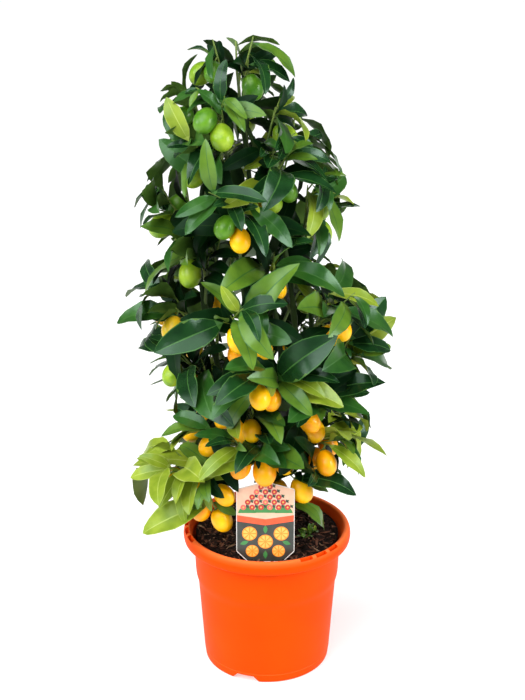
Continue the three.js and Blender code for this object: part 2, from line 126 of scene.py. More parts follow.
def makeMaterial(name, tones, roughness, patch=30, coat=0.0, bumpSize=None, bumpDepth=0.0,
                 stretch=(1, 1, 1), specular=0.5, sheenTint=(1, 1, 1)):
    # two tones mixed by soft patches, with a fine relief of bumpSize and bumpDepth, all in mm
    material = bpy.data.materials.new(name)
    material.use_nodes = True
    tree = material.node_tree
    shader = tree.nodes["Principled BSDF"]
    setInputs(shader, {"Roughness": roughness, "Specular IOR Level": specular, "Coat Weight": coat,
                       "Specular Tint": (*sheenTint, 1), "Coat Roughness": 0.12})
    place = addNode(tree, "TexCoord")
    mapping = addNode(tree, "Mapping", {"Scale": stretch})
    patches = addNode(tree, "TexNoise", {"Scale": 1000 / patch, "Detail": 3})
    ramp = addNode(tree, "ValToRGB")
    for stop, position, tone in zip(ramp.color_ramp.elements, (0.36, 0.64), tones):
        stop.position = position
        stop.color = linear(*tone)
    wire(place, "Object", mapping, "Vector")
    wire(mapping, "Vector", patches, "Vector")
    wire(patches, "Fac", ramp, "Fac")
    wire(ramp, "Color", shader, "Base Color")
    if bumpSize:
        grain = addNode(tree, "TexNoise", {"Scale": 1000 / bumpSize, "Detail": 4})
        bump = addNode(tree, "Bump", {"Strength": 1.0, "Distance": bumpDepth * mm})
        wire(mapping, "Vector", grain, "Vector")
        wire(grain, "Fac", bump, "Height")
        wire(bump, "Normal", shader, "Normal")
    return material


# mesh tools: a shape is a pair of points in mm and face sets, and a face set is a pair of the corner numbers
# and the material number of its faces
def facesOf(faceSets):
    return [face for rows, _ in faceSets for face in np.asarray(rows).tolist()]


def shadeSmooth(mesh, sharp):
    # smooth shading, but for edges sharper than this many degrees
    mesh.polygons.foreach_set("use_smooth", np.ones(len(mesh.polygons), bool))
    mesh.update()
    mesh.set_sharp_from_angle(angle=math.radians(sharp))


def addPiece(name, shape, materials, replaced=(), sharp=45):
    points, faceSets = shape
    faces = facesOf(faceSets)
    mesh = bpy.data.meshes.new(name)
    mesh.from_pydata((np.asarray(points) * mm).tolist(), [], faces)
    kinds = np.concatenate([np.broadcast_to(kind, len(rows)) for rows, kind in faceSets])
    mesh.polygons.foreach_set("material_index", kinds.astype(np.int32))
    for material in materials:
        mesh.materials.append(material)
    shadeSmooth(mesh, sharp)
    piece = addObject(name, mesh)
    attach(piece, "root")
    if replaced:
        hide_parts(*replaced)
    print(name, len(points), "points,", len(faces), "faces")
    return piece


def join(shapes):
    # several shapes as one, with the corner numbers moved on
    faceSets = []
    count = 0
    for points, partSets in shapes:
        faceSets += [(np.asarray(rows) + count, kind) for rows, kind in partSets]
        count += len(points)
    return np.concatenate([points for points, _ in shapes]), faceSets


def grid(rows, columns):
    # quads of a grid of points that closes round its columns, row by row
    i, k = np.meshgrid(np.arange(rows - 1), np.arange(columns), indexing="ij")
    a = (i * columns + k).ravel()
    b = (i * columns + (k + 1) % columns).ravel()
    return np.stack([a, b, b + columns, a + columns], axis=1)


def fan(pole, ring, flip):
    # triangles from a pole to a closed ring of corner numbers
    ring = np.asarray(ring)
    after = np.roll(ring, -1)
    middle = np.full(len(ring), pole)
    return np.stack([middle, after, ring] if flip else [middle, ring, after], axis=1)


def closeRings(rings, kind=0):
    # rows x columns points, with a pole put at the middle of the first and of the last row
    rows, columns, _ = rings.shape
    count = rows * columns
    points = np.concatenate([rings.reshape(-1, 3), [rings[0].mean(axis=0), rings[-1].mean(axis=0)]])
    ends = [fan(count, np.arange(columns), True), fan(count + 1, np.arange(count - columns, count), False)]
    return points, [(grid(rows, columns), kind), (np.concatenate(ends), kind)]


def stack(rings, kind=0):
    # a list of rings with as many points each, the first and the last closed by a flat face
    count = len(rings[0])
    first = np.arange(count)
    last = first + (len(rings) - 1) * count
    ends = [([first[::-1].tolist()], kind), ([last.tolist()], kind)]
    return np.concatenate(rings), [(grid(len(rings), count), kind), *ends]


def atHeight(outline, z):
    # a flat outline's (x, y) at one height
    return np.column_stack([outline, np.full(len(outline), float(z))])


def prism(outline, low, high):
    # an upright prism over a flat outline that runs counter-clockwise
    return stack([atHeight(outline, low), atHeight(outline, high)])


def ringAngles(count):
    # equal steps of a full turn
    return turn * np.arange(count) / count


def polar(radius, angle, z):
    # points (r cos angle, r sin angle, z) of arrays of like shape
    radius, angle, z = np.broadcast_arrays(radius, angle, z)
    return np.stack([radius * np.cos(angle), radius * np.sin(angle), z], axis=-1)


def unit(vectors):
    return vectors / np.linalg.norm(vectors, axis=-1, keepdims=True)


def revolve(profile, columns):
    # point(i, angle) = (r_i cos angle, r_i sin angle, z_i), the profile running outwards, up and back in
    profile = np.asarray(profile, float)
    return polar(profile[:, :1], ringAngles(columns), profile[:, 1:])


def rounded(corners, steps=6):
    # corners of (x, y, radius): a radius puts a parabola between two points at that distance from the corner
    corners = np.asarray(corners, float)
    line = []
    for i, (x, y, radius) in enumerate(corners):
        here = np.array([x, y])
        if radius == 0:
            line.append(here)
            continue
        before = corners[i - 1, :2] - here
        after = corners[(i + 1) % len(corners), :2] - here
        start = here + before * min(radius / np.hypot(*before), 0.5)
        end = here + after * min(radius / np.hypot(*after), 0.5)
        t = np.linspace(0, 1, steps)[:, None]
        line += list((1 - t) ** 2 * start + 2 * t * (1 - t) * here + t ** 2 * end)
    return np.array(line)


def noise(points, size, seed):
    # smooth noise from -1 to 1: a number hashed from each corner of a lattice, blended inside its cells
    place = np.asarray(points, float) / size
    cell = np.floor(place)
    part = place - cell
    part = part * part * (3 - 2 * part)
    total = 0
    for corner in np.ndindex(2, 2, 2):
        corner = np.array(corner)
        key = (cell + corner) @ np.array([127.1, 311.7, 74.7]) + seed * 17.3
        value = np.modf(np.abs(np.sin(key)) * 43758.5453)[0]
        weight = np.where(corner == 1, part, 1 - part).prod(axis=-1)
        total = total + weight * value
    return 2 * total - 1


def tube(path, radii, sides, kind=0):
    # ring(i, a) = path_i + r_i (cos a across_i + sin a third_i), with both ends closed to a pole
    path = np.asarray(path, float)
    radii = np.broadcast_to(radii, len(path))
    along = unit(np.gradient(path, axis=0))
    across = unit(np.cross([0.0, 1.0, 0.0], along))
    third = np.cross(along, across)
    angles = ringAngles(sides)[None, :, None]
    ring = across[:, None] * np.cos(angles) + third[:, None] * np.sin(angles)
    return closeRings(path[:, None] + ring * radii[:, None, None], kind)


# pot: a turned profile, with the grips and the drain cut through it
pot = {
    "columns": 180, "sharp": 32,
    "profile": [  # radius, height and rounding
        (0, 0, 0), (60, 0, 0), (74.5, 0, 2.6), (75.8, 10.4, 0.5), (75.3, 11.0, 0.4), (76.0, 11.7, 0.5),
        (79.2, 58, 0), (82.5, 103, 4.0), (85.2, 112, 5.0), (86.2, 134, 0), (87.4, 155.6, 1.2),
        (98.4, 155.8, 2.2), (100, 164.5, 5.0), (97.2, 172, 3.4), (92.0, 171.8, 2.2), (89.8, 166, 3.0),
        (85, 149, 4.0), (82.6, 109, 0), (80.4, 106, 0), (73.4, 11, 0), (0, 11, 0),
    ],
    "gripFirst": 190, "gripCount": 3, "gripSpread": 34, "gripInner": 94, "gripWidth": 3.8,
    "gripRibs": 2, "gripRibSpread": 3, "gripHeights": (150, 169, 174.5), "gripFlare": 0.016,
    "drainFirst": 250, "drainChannels": 3, "drainHalf": 19, "drainSlope": 9, "drainDepth": 8,
    "drainInner": 42, "drainLength": 42, "holes": 6, "holeRadius": 4, "holeAt": 56, "holeHeights": (-4, 15),
}


def turned(shape, azimuth):
    # the shape turned about Z by an azimuth in degrees
    points, faceSets = shape
    angle = math.radians(azimuth)
    x = points[:, 0] * math.cos(angle) - points[:, 1] * math.sin(angle)
    y = points[:, 0] * math.sin(angle) + points[:, 1] * math.cos(angle)
    return np.stack([x, y, points[:, 2]], axis=1), faceSets


def allRound(shape, first, count):
    # copies of a shape at equal angles from a first azimuth
    return [turned(shape, azimuth) for azimuth in first + 360 / count * np.arange(count)]


def gripCutters():
    # slots between two arcs, in cells parted by ribs, flaring out at the rim's top
    cells = pot["gripRibs"] + 1
    spread = (pot["gripSpread"] - pot["gripRibs"] * pot["gripRibSpread"]) / cells
    low, middle, high = pot["gripHeights"]
    cutters = []
    for g in range(pot["gripCount"]):
        for c in range(cells):
            start = pot["gripFirst"] + 360 / pot["gripCount"] * g - pot["gripSpread"] / 2
            start += c * (spread + pot["gripRibSpread"])
            angles = np.radians(np.linspace(start, start + spread, 9))
            inner = pot["gripInner"] * np.stack([np.cos(angles), np.sin(angles)], axis=1)
            outer = inner * (1 + pot["gripWidth"] / pot["gripInner"])
            slot = np.concatenate([outer, inner[::-1]])
            mouth = np.concatenate([outer * (1 + pot["gripFlare"]), inner[::-1] * (1 - pot["gripFlare"])])
            cutters.append(stack([atHeight(slot, low), atHeight(slot, middle), atHeight(mouth, high)]))
    return cutters


def drainCutters():
    # a sloping-sided bar across the foot, and upright round holes
    half = pot["drainHalf"]
    top = half - pot["drainSlope"]
    section = [(-half, -2), (half, -2), (top, pot["drainDepth"]), (-top, pot["drainDepth"])]
    points, faceSets = prism(section, pot["drainInner"], pot["drainInner"] + pot["drainLength"])
    bar = (points[:, [2, 0, 1]], faceSets)  # laid along X
    angles = ringAngles(20)
    x = pot["holeAt"] + pot["holeRadius"] * np.cos(angles)
    hole = prism(np.stack([x, pot["holeRadius"] * np.sin(angles)], axis=1), *pot["holeHeights"])
    return (allRound(bar, pot["drainFirst"], pot["drainChannels"]),
            allRound(hole, pot["drainFirst"], pot["holes"]))


def cutAway(piece, shapes):
    # the shapes taken out of the piece's mesh
    points, faceSets = join(shapes)
    mesh = bpy.data.meshes.new("cutter")
    mesh.from_pydata((points * mm).tolist(), [], facesOf(faceSets))
    cutter = addObject("cutter", mesh)
    cut = piece.modifiers.new("cut", "BOOLEAN")
    cut.operation = "DIFFERENCE"
    cut.solver = "MANIFOLD"
    cut.object = cutter
    finished = bpy.data.meshes.new_from_object(piece.evaluated_get(bpy.context.evaluated_depsgraph_get()))
    piece.modifiers.clear()
    piece.data = finished
    bpy.data.objects.remove(cutter)


def makePot(material):
    # the rounded profile turned about Z, less the slots and channels
    profile = rounded(pot["profile"])[1:-1]  # both poles are put back by closeRings
    shape = closeRings(revolve(profile, pot["columns"]))
    piece = addPiece("pot_body", shape, [material], ["pot"], pot["sharp"])
    for shapes in (gripCutters(), *drainCutters()):
        cutAway(piece, shapes)
    piece.data.name = "pot_body"
    shadeSmooth(piece.data, pot["sharp"])
    print("pot cut:", len(piece.data.polygons), "faces")


def paintUpwardHighlight(material, tone, low, high):
    # painted highlight: a paler tone mixed in where the surface faces up, from low to high of its normal's
    # height
    tree = material.node_tree
    shader = tree.nodes["Principled BSDF"]
    place = addNode(tree, "TexCoord")
    parts = addNode(tree, "SeparateXYZ")
    facing = addNode(tree, "MapRange", {"From Min": low, "From Max": high})
    blend = addNode(tree, "MixRGB", {"Color2": linear(*tone)})
    wire(place, "Normal", parts, "Vector")
    wire(parts, "Z", facing, "Value")
    wire(facing, "Result", blend, "Fac")
    tree.links.new(shader.inputs["Base Color"].links[0].from_socket, blend.inputs["Color1"])
    wire(blend, "Color", shader, "Base Color")
    return material


# the pot's upward faces, the rim's top above all, take a paler orange as a painted reflection of the bright
# backdrop
makePot(paintUpwardHighlight(
    makeMaterial("potOrange", [(229, 69, 0), (233, 73, 0)], 0.46, patch=60, bumpSize=3, bumpDepth=0.02,
                 specular=0.04),
    (246, 112, 52), 0.1, 0.9))

# soil: a rough mound with splinters and fibres of peat and bark on it
soil = {
    "level": 157, "crown": 4, "bank": 6, "edge": 84.7, "columns": 200, "rings": 60,
    "side": [(0.5, 11.3), (73.1, 11.3), (80.1, 106), (82.3, 109)],  # radius and height inside the pot's wall
    "relief": ((3.0, 17), (2.2, 5.5), (0.8, 2.4)),  # depth and size of lumps, crumbs and grains
    "wallFade": 4, "clearing": 9, "clearingFade": 10, "bankFrom": 36, "bankWidth": 30,
}
fibre = {
    "count": 1700, "length": (5, 20), "radius": (0.4, 1.25), "margin": 2.5, "seed": 11, "lift": (-0.2, 0.9),
    "shares": (-0.5, -0.28, 0.0, 0.3, 0.5), "widths": (0.9, 1.0, 0.75), "kinds": (0.62, 0.3, 0.08),
    "innermost": 0.02, "shortest": 0.4, "tilt": 0.28, "bend": 0.14, "thinness": 1.3, "flatness": 1.5,
}


def soilTop(radius):
    # height(r) = level + crown (1 - (r / edge) squared)
    return soil["level"] + soil["crown"] * (1 - (radius / soil["edge"]) ** 2)


def soilRelief(points):
    # three sizes of noise, faded out at the pot's wall and where the trunk stands, and the bank near the wall
    radius = np.hypot(points[..., 0], points[..., 1])
    layers = enumerate(soil["relief"], 1)
    relief = sum(depth * noise(points * [1, 1, 0], size, seed) for seed, (depth, size) in layers)
    fade = np.clip((soil["edge"] - radius) / soil["wallFade"], 0, 1)
    fade = fade * np.clip((radius - soil["clearing"]) / soil["clearingFade"], 0, 1)
    return relief * fade + soil["bank"] * np.clip((radius - soil["bankFrom"]) / soil["bankWidth"], 0, 1)


def makeMound(material):
    # height(r, angle) = crowned level + relief, carried down inside the pot's wall to its floor
    rings = np.linspace(1, 0.006, soil["rings"]) * soil["edge"]
    profile = np.concatenate([soil["side"], np.column_stack([rings, soilTop(rings)])])
    points = revolve(profile, soil["columns"])
    top = slice(len(soil["side"]), None)
    points[top, :, 2] += soilRelief(points[top])
    addPiece("soil_mound", closeRings(points), [material], ["soil"], 80)


def makeFibres(materials):
    # bent spindles of three rings of three points between two poles: centre(s) = middle + s length along it
    # + 4 s s bend across it
    chance = np.random.default_rng(fibre["seed"])
    count = fibre["count"]
    radius = (soil["edge"] - fibre["margin"]) * np.sqrt(chance.uniform(fibre["innermost"], 1, count))
    middle = polar(radius, chance.uniform(0, turn, count), soilTop(radius))
    middle[:, 2] += soilRelief(middle) + chance.uniform(*fibre["lift"], count)
    heading = chance.uniform(0, turn, count)
    tilt = chance.normal(0, fibre["tilt"], count)
    along = polar(np.cos(tilt), heading, np.sin(tilt))
    third = unit(np.cross(along, [0.0, 0.0, 1.0]))
    above = np.cross(along, third)
    length = chance.uniform(*fibre["length"], count) * chance.uniform(fibre["shortest"], 1, count)
    thick = chance.uniform(*fibre["radius"], count) ** fibre["thinness"]
    bend = chance.normal(0, fibre["bend"], count) * length
    shares = np.array(fibre["shares"])
    centre = middle[:, None] + along[:, None] * (shares * length[:, None])[..., None]
    centre += third[:, None] * (4 * shares ** 2 * bend[:, None])[..., None]
    angles = ringAngles(3)[None, :, None]
    ring = third[:, None] * np.cos(angles) * fibre["flatness"] + above[:, None] * np.sin(angles)
    rings = centre[:, 1:4, None] + ring[:, None] * (fibre["widths"] * thick[:, None])[..., None, None]
    points = np.concatenate([centre[:, :1], rings.reshape(count, 9, 3), centre[:, 4:]], axis=1)
    distance = np.hypot(points[..., 0], points[..., 1])
    points[..., :2] *= np.minimum(1, (soil["edge"] - 0.5) / np.maximum(distance, 1))[..., None]
    number = np.arange(count)[:, None, None] * 11
    kinds = np.repeat(chance.choice([0, 1, 2], count, p=fibre["kinds"]), 6)
    ends = np.concatenate([fan(0, [1, 2, 3], True), fan(10, [7, 8, 9], False)])
    faceSets = [((grid(3, 3) + 1 + number).reshape(-1, 4), kinds), ((ends + number).reshape(-1, 3), kinds)]
    addPiece("soil_fibres", (points.reshape(-1, 3), faceSets), materials, (), 60)


crumb = {"patch": 6, "bumpSize": 1, "bumpDepth": 0.2, "specular": 0.2}
makeMound(makeMaterial("soilDark", [(15, 9, 7), (36, 22, 17)], 0.92, patch=5, bumpSize=1.4, bumpDepth=0.8,
                       specular=0.12))
makeFibres([
    makeMaterial("peatFibre", [(28, 17, 13), (54, 34, 26)], 0.8, **crumb),
    makeMaterial("redFibre", [(78, 47, 34), (108, 70, 52)], 0.8, **crumb),
    makeMaterial("strawFibre", [(122, 92, 70), (154, 124, 96)], 0.8, **crumb),
])

# tag: a moulded plate with thin printed fields laid on its face
tag = {
    "width": 66, "height": 98, "shoulder": 9, "chamfer": 13, "thickness": 0.9, "bottom": 163, "front": -77,
    "centre": -2, "lean": 4, "spikeWidth": 20, "spikeLength": 32, "layer": 0.07, "margin": 0.7,
}
art = {  # places in mm from the middle of the plate's lower edge
    "bandLow": 50, "bandHigh": 57.5, "dip": 5, "inset": 0.6, "hillBase": 58.7,
    "hills": ((-21, 10), (0, 13), (21, 10)),  # x and radius
    "blossomRows": 5, "blossomLowest": 67, "blossomSteps": (10, 6.2), "blossomRadius": 3.3,
    "blossomHeart": 1.1, "blossomRoom": 4, "petal": (5.4, 1.3), "petalAt": (4.6, 1.2),
    "wheels": ((-18, 35, 8.6), (18, 35, 8.6), (0, 25, 8.6), (-15, 13.5, 7.4), (15, 13.5, 7.4)),
    "wedges": 8, "wedgeHalf": 0.05, "wedgeShift": 1.1, "wedgeReach": 0.74,
    "leaf": (10, 2.4), "leaves": ((0, 40, 90), (-24, 23.5, 20), (24, 23.5, 160), (0, 9, 90)),  # with angles
}
inks = {
    "peach": (228, 184, 156), "band": (238, 84, 42), "dark": (50, 55, 50), "green": (58, 132, 66),
    "red": (188, 48, 46), "pink": (226, 104, 92), "orange": (246, 140, 32), "yellow": (252, 186, 84),
}


def onTag(outline, depth):
    # the outline's (x, y) stood up on the leaning plate, depth out from its middle towards the front
    lean = math.radians(90 - tag["lean"])
    x = tag["centre"] + outline[:, 0]
    y = tag["front"] + outline[:, 1] * math.cos(lean) - depth * math.sin(lean)
    z = tag["bottom"] + outline[:, 1] * math.sin(lean) + depth * math.cos(lean)
    return np.stack([x, y, z], axis=1)


def slab(outline, low, high, kind):
    # a thin prism between two depths, its face pointing to the front; the outline runs counter-clockwise
    outline = np.asarray(outline, float)
    inset = outline + (outline.mean(axis=0) - outline) * min(0.02, 0.05 / max(np.ptp(outline), 1))
    return stack([onTag(outline, low), onTag(outline, (low + high) / 2), onTag(inset, high)], kind)


def disc(x, y, radius, share=(0, 1), steps=20):
    # a circle, or the arc between two shares of it
    angles = turn * np.linspace(*share, steps + 1)
    ring = np.stack([x + radius * np.cos(angles), y + radius * np.sin(angles)], axis=1)
    return ring[:-1] if share == (0, 1) else ring


def leafShape(x, y, length, half, angle):
    # a pointed oval: side(t) = half sin(pi t) along its length, turned by the angle about its middle
    t = np.linspace(0, 1, 9)
    bow = half * np.sin(math.pi * t)
    ahead = length * (t - 0.5)
    edge = np.concatenate([np.column_stack([ahead, -bow]), np.column_stack([-ahead, bow])[1:-1]])
    a = math.radians(angle)
    return edge @ np.array([[math.cos(a), math.sin(a)], [-math.sin(a), math.cos(a)]]) + [x, y]


def tagOutline():
    # the plate with its low peak, shoulders, chamfers and spike, its corners rounded
    half = tag["width"] / 2
    spike = tag["spikeWidth"] / 2
    low = -tag["spikeLength"]
    chamfer = tag["chamfer"]
    shoulder = tag["height"] - tag["shoulder"]
    return rounded([
        (-spike, 0, 1.5), (-spike + 3, low + 6, 2), (0, low, 1.5), (spike - 3, low + 6, 2), (spike, 0, 1.5),
        (half - chamfer, 0, 1.2), (half, chamfer, 1.5), (half, shoulder, 2), (0, tag["height"], 7),
        (-half, shoulder, 2), (-half, chamfer, 1.5), (-half + chamfer, 0, 1.2)], 4)


def printedFields():
    # every field is a slab in its layer on the plate's face
    half = tag["width"] / 2
    edge = tag["margin"]
    high = tag["height"] - edge
    side = half - edge
    low = tag["chamfer"] + art["inset"]
    shoulder = high - tag["shoulder"]
    fields = []

    def lay(shape, layer, ink):
        low, high = (tag["thickness"] / 2 + k * tag["layer"] for k in (layer, layer + 1))
        fields.append(slab(shape, low, high, list(inks).index(ink)))

    # a peach sky, a chevron band and a dark garden under it
    upper = [(-side, art["bandHigh"]), (0, art["bandHigh"] - art["dip"]), (side, art["bandHigh"])]
    lower = [(-side, art["bandLow"]), (0, art["bandLow"] - art["dip"]), (side, art["bandLow"])]
    lay([*upper, (side, shoulder), (0, high), (-side, shoulder)], 0, "peach")
    lay([*lower, *upper[::-1]], 0, "band")
    lay([(low - half, edge), (half - low, edge), (side, low), *lower[::-1], (-side, low)], 0, "dark")
    # rounded hills, and rows of blossoms with two petals each over them
    for x, radius in art["hills"]:
        lay(disc(x, art["hillBase"], radius, (0.02, 0.48)), 1, "green")
    for i in range(art["blossomRows"]):
        for k in range(art["blossomRows"] + 1 - i):
            x = (k - (art["blossomRows"] - i) / 2) * art["blossomSteps"][0]
            y = art["blossomLowest"] + art["blossomSteps"][1] * i
            if y + art["blossomRoom"] > high - tag["shoulder"] * abs(x) / half:
                continue
            for layer, ink, angle in ((1, "green", 35), (2, "dark", 125)):
                place = (x + art["petalAt"][0], y + art["petalAt"][1])
                lay(leafShape(*place, *art["petal"], angle), layer, ink)
            lay(disc(x, y, art["blossomRadius"], steps=10), 3, "red" if (i + k) % 3 else "pink")
            lay(disc(x, y, art["blossomHeart"], steps=8), 4, "yellow")
    # cut fruit as wheels of wedges, like the dots on a die, with leaves between them
    for x, y, radius in art["wheels"]:
        lay(disc(x, y, radius, steps=24), 1, "orange")
        for w in range(art["wedges"]):
            middle = (w + 0.5) / art["wedges"]
            cx = x + art["wedgeShift"] * math.cos(turn * middle)
            cy = y + art["wedgeShift"] * math.sin(turn * middle)
            share = (middle - art["wedgeHalf"], middle + art["wedgeHalf"])
            lay([(cx, cy), *disc(cx, cy, radius * art["wedgeReach"], share, 4)], 2, "yellow")
    for x, y, angle in art["leaves"]:
        lay(leafShape(x, y, *art["leaf"], angle), 1, "green")
    return join(fields)


def makeTag(plate, printing):
    face = tag["thickness"] / 2
    addPiece("tag_plate", slab(tagOutline(), -face, face, 0), [plate], ["tag"], 30)
    addPiece("tag_print", printedFields(), printing, (), 30)


gloss = {"bumpSize": 4, "bumpDepth": 0.02}
makeTag(
    makeMaterial("tagPlastic", [(232, 230, 224), (240, 238, 232)], 0.3, patch=20, **gloss),
    [makeMaterial("ink" + name.title(), [tone, [min(255, part + 8) for part in tone]], 0.28, patch=8, **gloss)
     for name, tone in inks.items()])

# growth rule: the same named values and the same seeded numbers as the solids
trunk = {"height": 82, "footRadius": 13, "radius": 8.2, "topRadius": 7, "flareHeight": 16, "lean": (3, -4)}
stem = {
    "azimuths": [196, 256, 316, 16, 76, 136],
    "forkHeights": [212, 229, 209, 227, 214, 231],
    "baseRadius": 3.6, "tipRadius": 2.5, "bow": 52, "topRadius": 16, "longest": 650,
    "lean": -34, "leanFrom": 330, "wobble": 5, "waves": 9, "bowPower": 0.75,
    "settle": 4, "part": 6,  # how soon it sways in full, and is free of the trunk's axis
}
tierKeys = ("height", "axis", "reach", "count", "first", "leaf", "droop", "fruit", "finer")
tiers = [dict(zip(tierKeys, row)) for row in (
    (718, -36, 50, 3, 200, 58, 0.5, 1, 1),
    (666, -35, 92, 4, 255, 70, 0.6, 2, 2),
    (614, -21, 96, 4, 212, 84, 0.8, 1, 5),
    (562, -22, 128, 4, 262, 90, 0.9, 2, 7),
    (505, -36, 102, 4, 222, 92, 1, 2, 6),
    (452, -14, 150, 5, 192, 94, 0.9, 2, 7),
    (392, -4, 158, 5, 208, 96, 0.9, 2, 7),
    (344, 0, 126, 5, 240, 92, 1, 2, 7),
    (298, 8, 134, 5, 262, 92, 0.9, 2, 7),
    (252, -36, 148, 4, 200, 104, 0.35, 1, 8),
)]
shoot = {
    "drop": 58, "radius": 2.1, "tipRadius": 1.2, "sides": 3, "sag": 5, "lowestRoot": 254, "rootStep": 14,
    "tries": 7, "shift": 8,
}
twig = {
    "perShoot": 2, "from": 0.42, "step": 0.24, "length": 40, "spread": 62, "radius": 1.2, "tipRadius": 0.9,
    "outward": 0.35, "sizes": (0.85, 0.35), "sway": 16, "rise": 0.25, "fallShare": 0.4,
}
leaf = {
    "onShoot": 6, "onTwig": 2, "shootSpan": (0.45, 0.99), "twigSpan": (0.45, 0.98), "splay": (30, 92),
    "droop": (0.05, 0.6), "sizes": (0.82, 0.36), "shrink": 0.05, "spin": 50, "tries": 16, "rootDepth": 0.5,
    "widthShare": 0.38, "thickness": 1.3, "arch": 0.08, "fold": 0.25, "widest": 0.46, "looseFrom": 0.16,
    "looseness": 2.4, "sprayTurn": 60, "tryTurn": 80, "facing": (0.75, 0.7),
}
fruit = {
    "length": 31, "width": 24, "sizes": (0.86, 0.26), "stalk": 6, "stalkRadius": 0.9, "stalkEnd": 4,
    "span": (0.55, 0.35), "outward": (0.35, 0.5), "fall": 0.9, "spin": 110, "tilt": (0.2, 0.1, 1),
    "around": 6, "along": 4, "tries": 8, "viewDepth": 70, "viewRadius": 7,
}
crown = {
    "top": 742, "lowest": (168, 236), "lowestFrom": -120, "lowestTo": -10, "slack": 12, "heart": 0.68,
    "back": 0.3,  # the sine of the azimuth past which a mass is at the back
}
finer = {  # what grows here only, on the shoots and side twigs above
    "onMain": (0.3, 0.5, 0.72, 0.93), "onSide": (0.4, 0.85), "length": (18, 34), "spread": 49, "outward": 0.4,
    "radius": 0.95, "tipRadius": 0.7, "arch": 1.2, "leaves": 4, "leafSpan": (0.3, 1.0), "leafShare": 0.8,
    "thickness": 0.8, "sprayTurn": 40, "rise": (0.35, 0.65),
    "headroom": 24,  # how far below the crown's top a twig ends
}
golden = 137.5  # the angle from one leaf or twig to the next, in degrees


def seeded(*keys):
    # a repeatable source of numbers from 0 to 1, the same for the same keys
    mask = 0xFFFFFFFF
    state = 7
    for key in keys:
        state = (state * 31 + (key + 1) * 2654435761) & mask

    def draw():
        nonlocal state
        state = (state + 0x6D2B79F5) & mask
        t = ((state ^ (state >> 15)) * (state | 1)) & mask
        t ^= (t + (t ^ (t >> 7)) * (t | 61)) & mask
        return (t ^ (t >> 14)) / 4294967296

    return draw


def mix(low, high, share):
    # low + (high - low) share
    return low + (high - low) * share


def smoothstep(value, low, high):
    # 3 t t - 2 t t t of the share between low and high
    t = min(1, max(0, (value - low) / (high - low)))
    return t * t * (3 - 2 * t)


def around(radius, azimuth, z):
    # the point (r cos azimuth, r sin azimuth, z), in degrees
    angle = math.radians(azimuth)
    return Vector((radius * math.cos(angle), radius * math.sin(angle), z))


def someSize(plan, random):
    return plan["sizes"][0] + plan["sizes"][1] * random()


def turnAbout(vector, axis, degrees):
    return Quaternion(axis, math.radians(degrees)) @ vector


def tierValue(key, z):
    # a tier's value, interpolated between tiers by height
    return float(np.interp(z, [t["height"] for t in tiers[::-1]], [t[key] for t in tiers[::-1]]))


def axisAt(z):
    return Vector((tierValue("axis", z), 0, z))


def outwardAt(point):
    # away from the crown's axis, level
    return (point - axisAt(point.z)).normalized()


trunkFoot = soil["level"] + soil["crown"] + clear


def trunkAt(share):
    # the middle of the leaning trunk at a share of its height
    return Vector((trunk["lean"][0] * share, trunk["lean"][1] * share, trunkFoot + trunk["height"] * share))


def stemAt(index, z):
    # a line that bows out of the trunk's top and back towards the axis, swaying a little
    rootHeight = stem["forkHeights"][index]
    t = (z - rootHeight) / (stem["longest"] - rootHeight)
    phase = turn * seeded(900, index)()
    radius = stem["topRadius"] * t + stem["bow"] * math.sin(math.pi * min(t, 1)) ** stem["bowPower"]
    sway = stem["wobble"] * math.sin(phase + t * stem["waves"]) * min(1, stem["settle"] * t)
    place = around(radius, stem["azimuths"][index] + sway, z)
    place.x += stem["lean"] * smoothstep(z, stem["leanFrom"], stem["longest"])
    start = trunkAt((rootHeight - trunkFoot) / trunk["height"])
    return place.lerp(Vector((start.x, start.y, z)), max(0, 1 - stem["part"] * t))


def freeStem(azimuth, taken):
    # the nearest stem that doesn't carry this tier yet
    free = [k for k in range(len(stem["azimuths"])) if k not in taken]
    return min(free, key=lambda k: abs((azimuth - stem["azimuths"][k] + 540) % 360 - 180))


sprays = []
for t, tier in enumerate(tiers):
    taken = []
    lowest = shoot["lowestRoot"] + shoot["rootStep"] * (len(tiers) - 1 - t)
    reach = tier["reach"] - crown["heart"] * tier["leaf"]
    for s in range(tier["count"]):
        azimuth = (tier["first"] + 360 / tier["count"] * s) % 360
        taken.append(freeStem(azimuth, taken))
        sprays.append({
            "name": f"spray_{t + 1}_{'abcdef'[s]}", "key": t * 10 + s, "tier": tier, "azimuth": azimuth,
            "stem": taken[-1], "heart": axisAt(tier["height"]) + around(reach, azimuth, 0),
            "rootHeight": max(tier["height"] - shoot["drop"], lowest),
        })


class Standing:
    # what already stands in the crown, so that nothing new grows into it
    def __init__(self):
        self.boxes = np.zeros((9000, 6))
        self.trees = []
        self.owners = []

    def add(self, solid, owner):
        points, faces = solid
        self.boxes[len(self.trees)] = [*np.min(points, axis=0), *np.max(points, axis=0)]
        self.trees.append(BVHTree.FromPolygons(points, faces))
        self.owners.append(owner)

    def meets(self, solid, exempt):
        points, faces = solid
        low = np.min(points, axis=0)
        high = np.max(points, axis=0)
        boxes = self.boxes[:len(self.trees)]
        near = np.nonzero(((boxes[:, :3] <= high) & (boxes[:, 3:] >= low)).all(axis=1))[0]
        near = [i for i in near if self.owners[i] not in exempt]
        if not near:
            return False
        tree = BVHTree.FromPolygons(points, faces)
        return any(tree.overlap(self.trees[i]) for i in near)


standing = Standing()


def plain(shape):
    # a shape as lists of points and faces, for trying its room
    points, faceSets = shape
    return points.tolist(), facesOf(faceSets)


def limb(path, radii, sides):
    # a plain tube along a path of a few points
    return plain(tube([tuple(p) for p in path], np.array(radii), sides))


def onLine(path, share):
    # the point at a share of the path's stretches, and the direction there
    place = share * (len(path) - 1)
    i = min(int(place), len(path) - 2)
    return path[i].lerp(path[i + 1], place - i), (path[i + 1] - path[i]).normalized()


def twigOf(name, path, plan):
    return {"name": name, "path": path, "radii": (plan["radius"], plan["tipRadius"])}


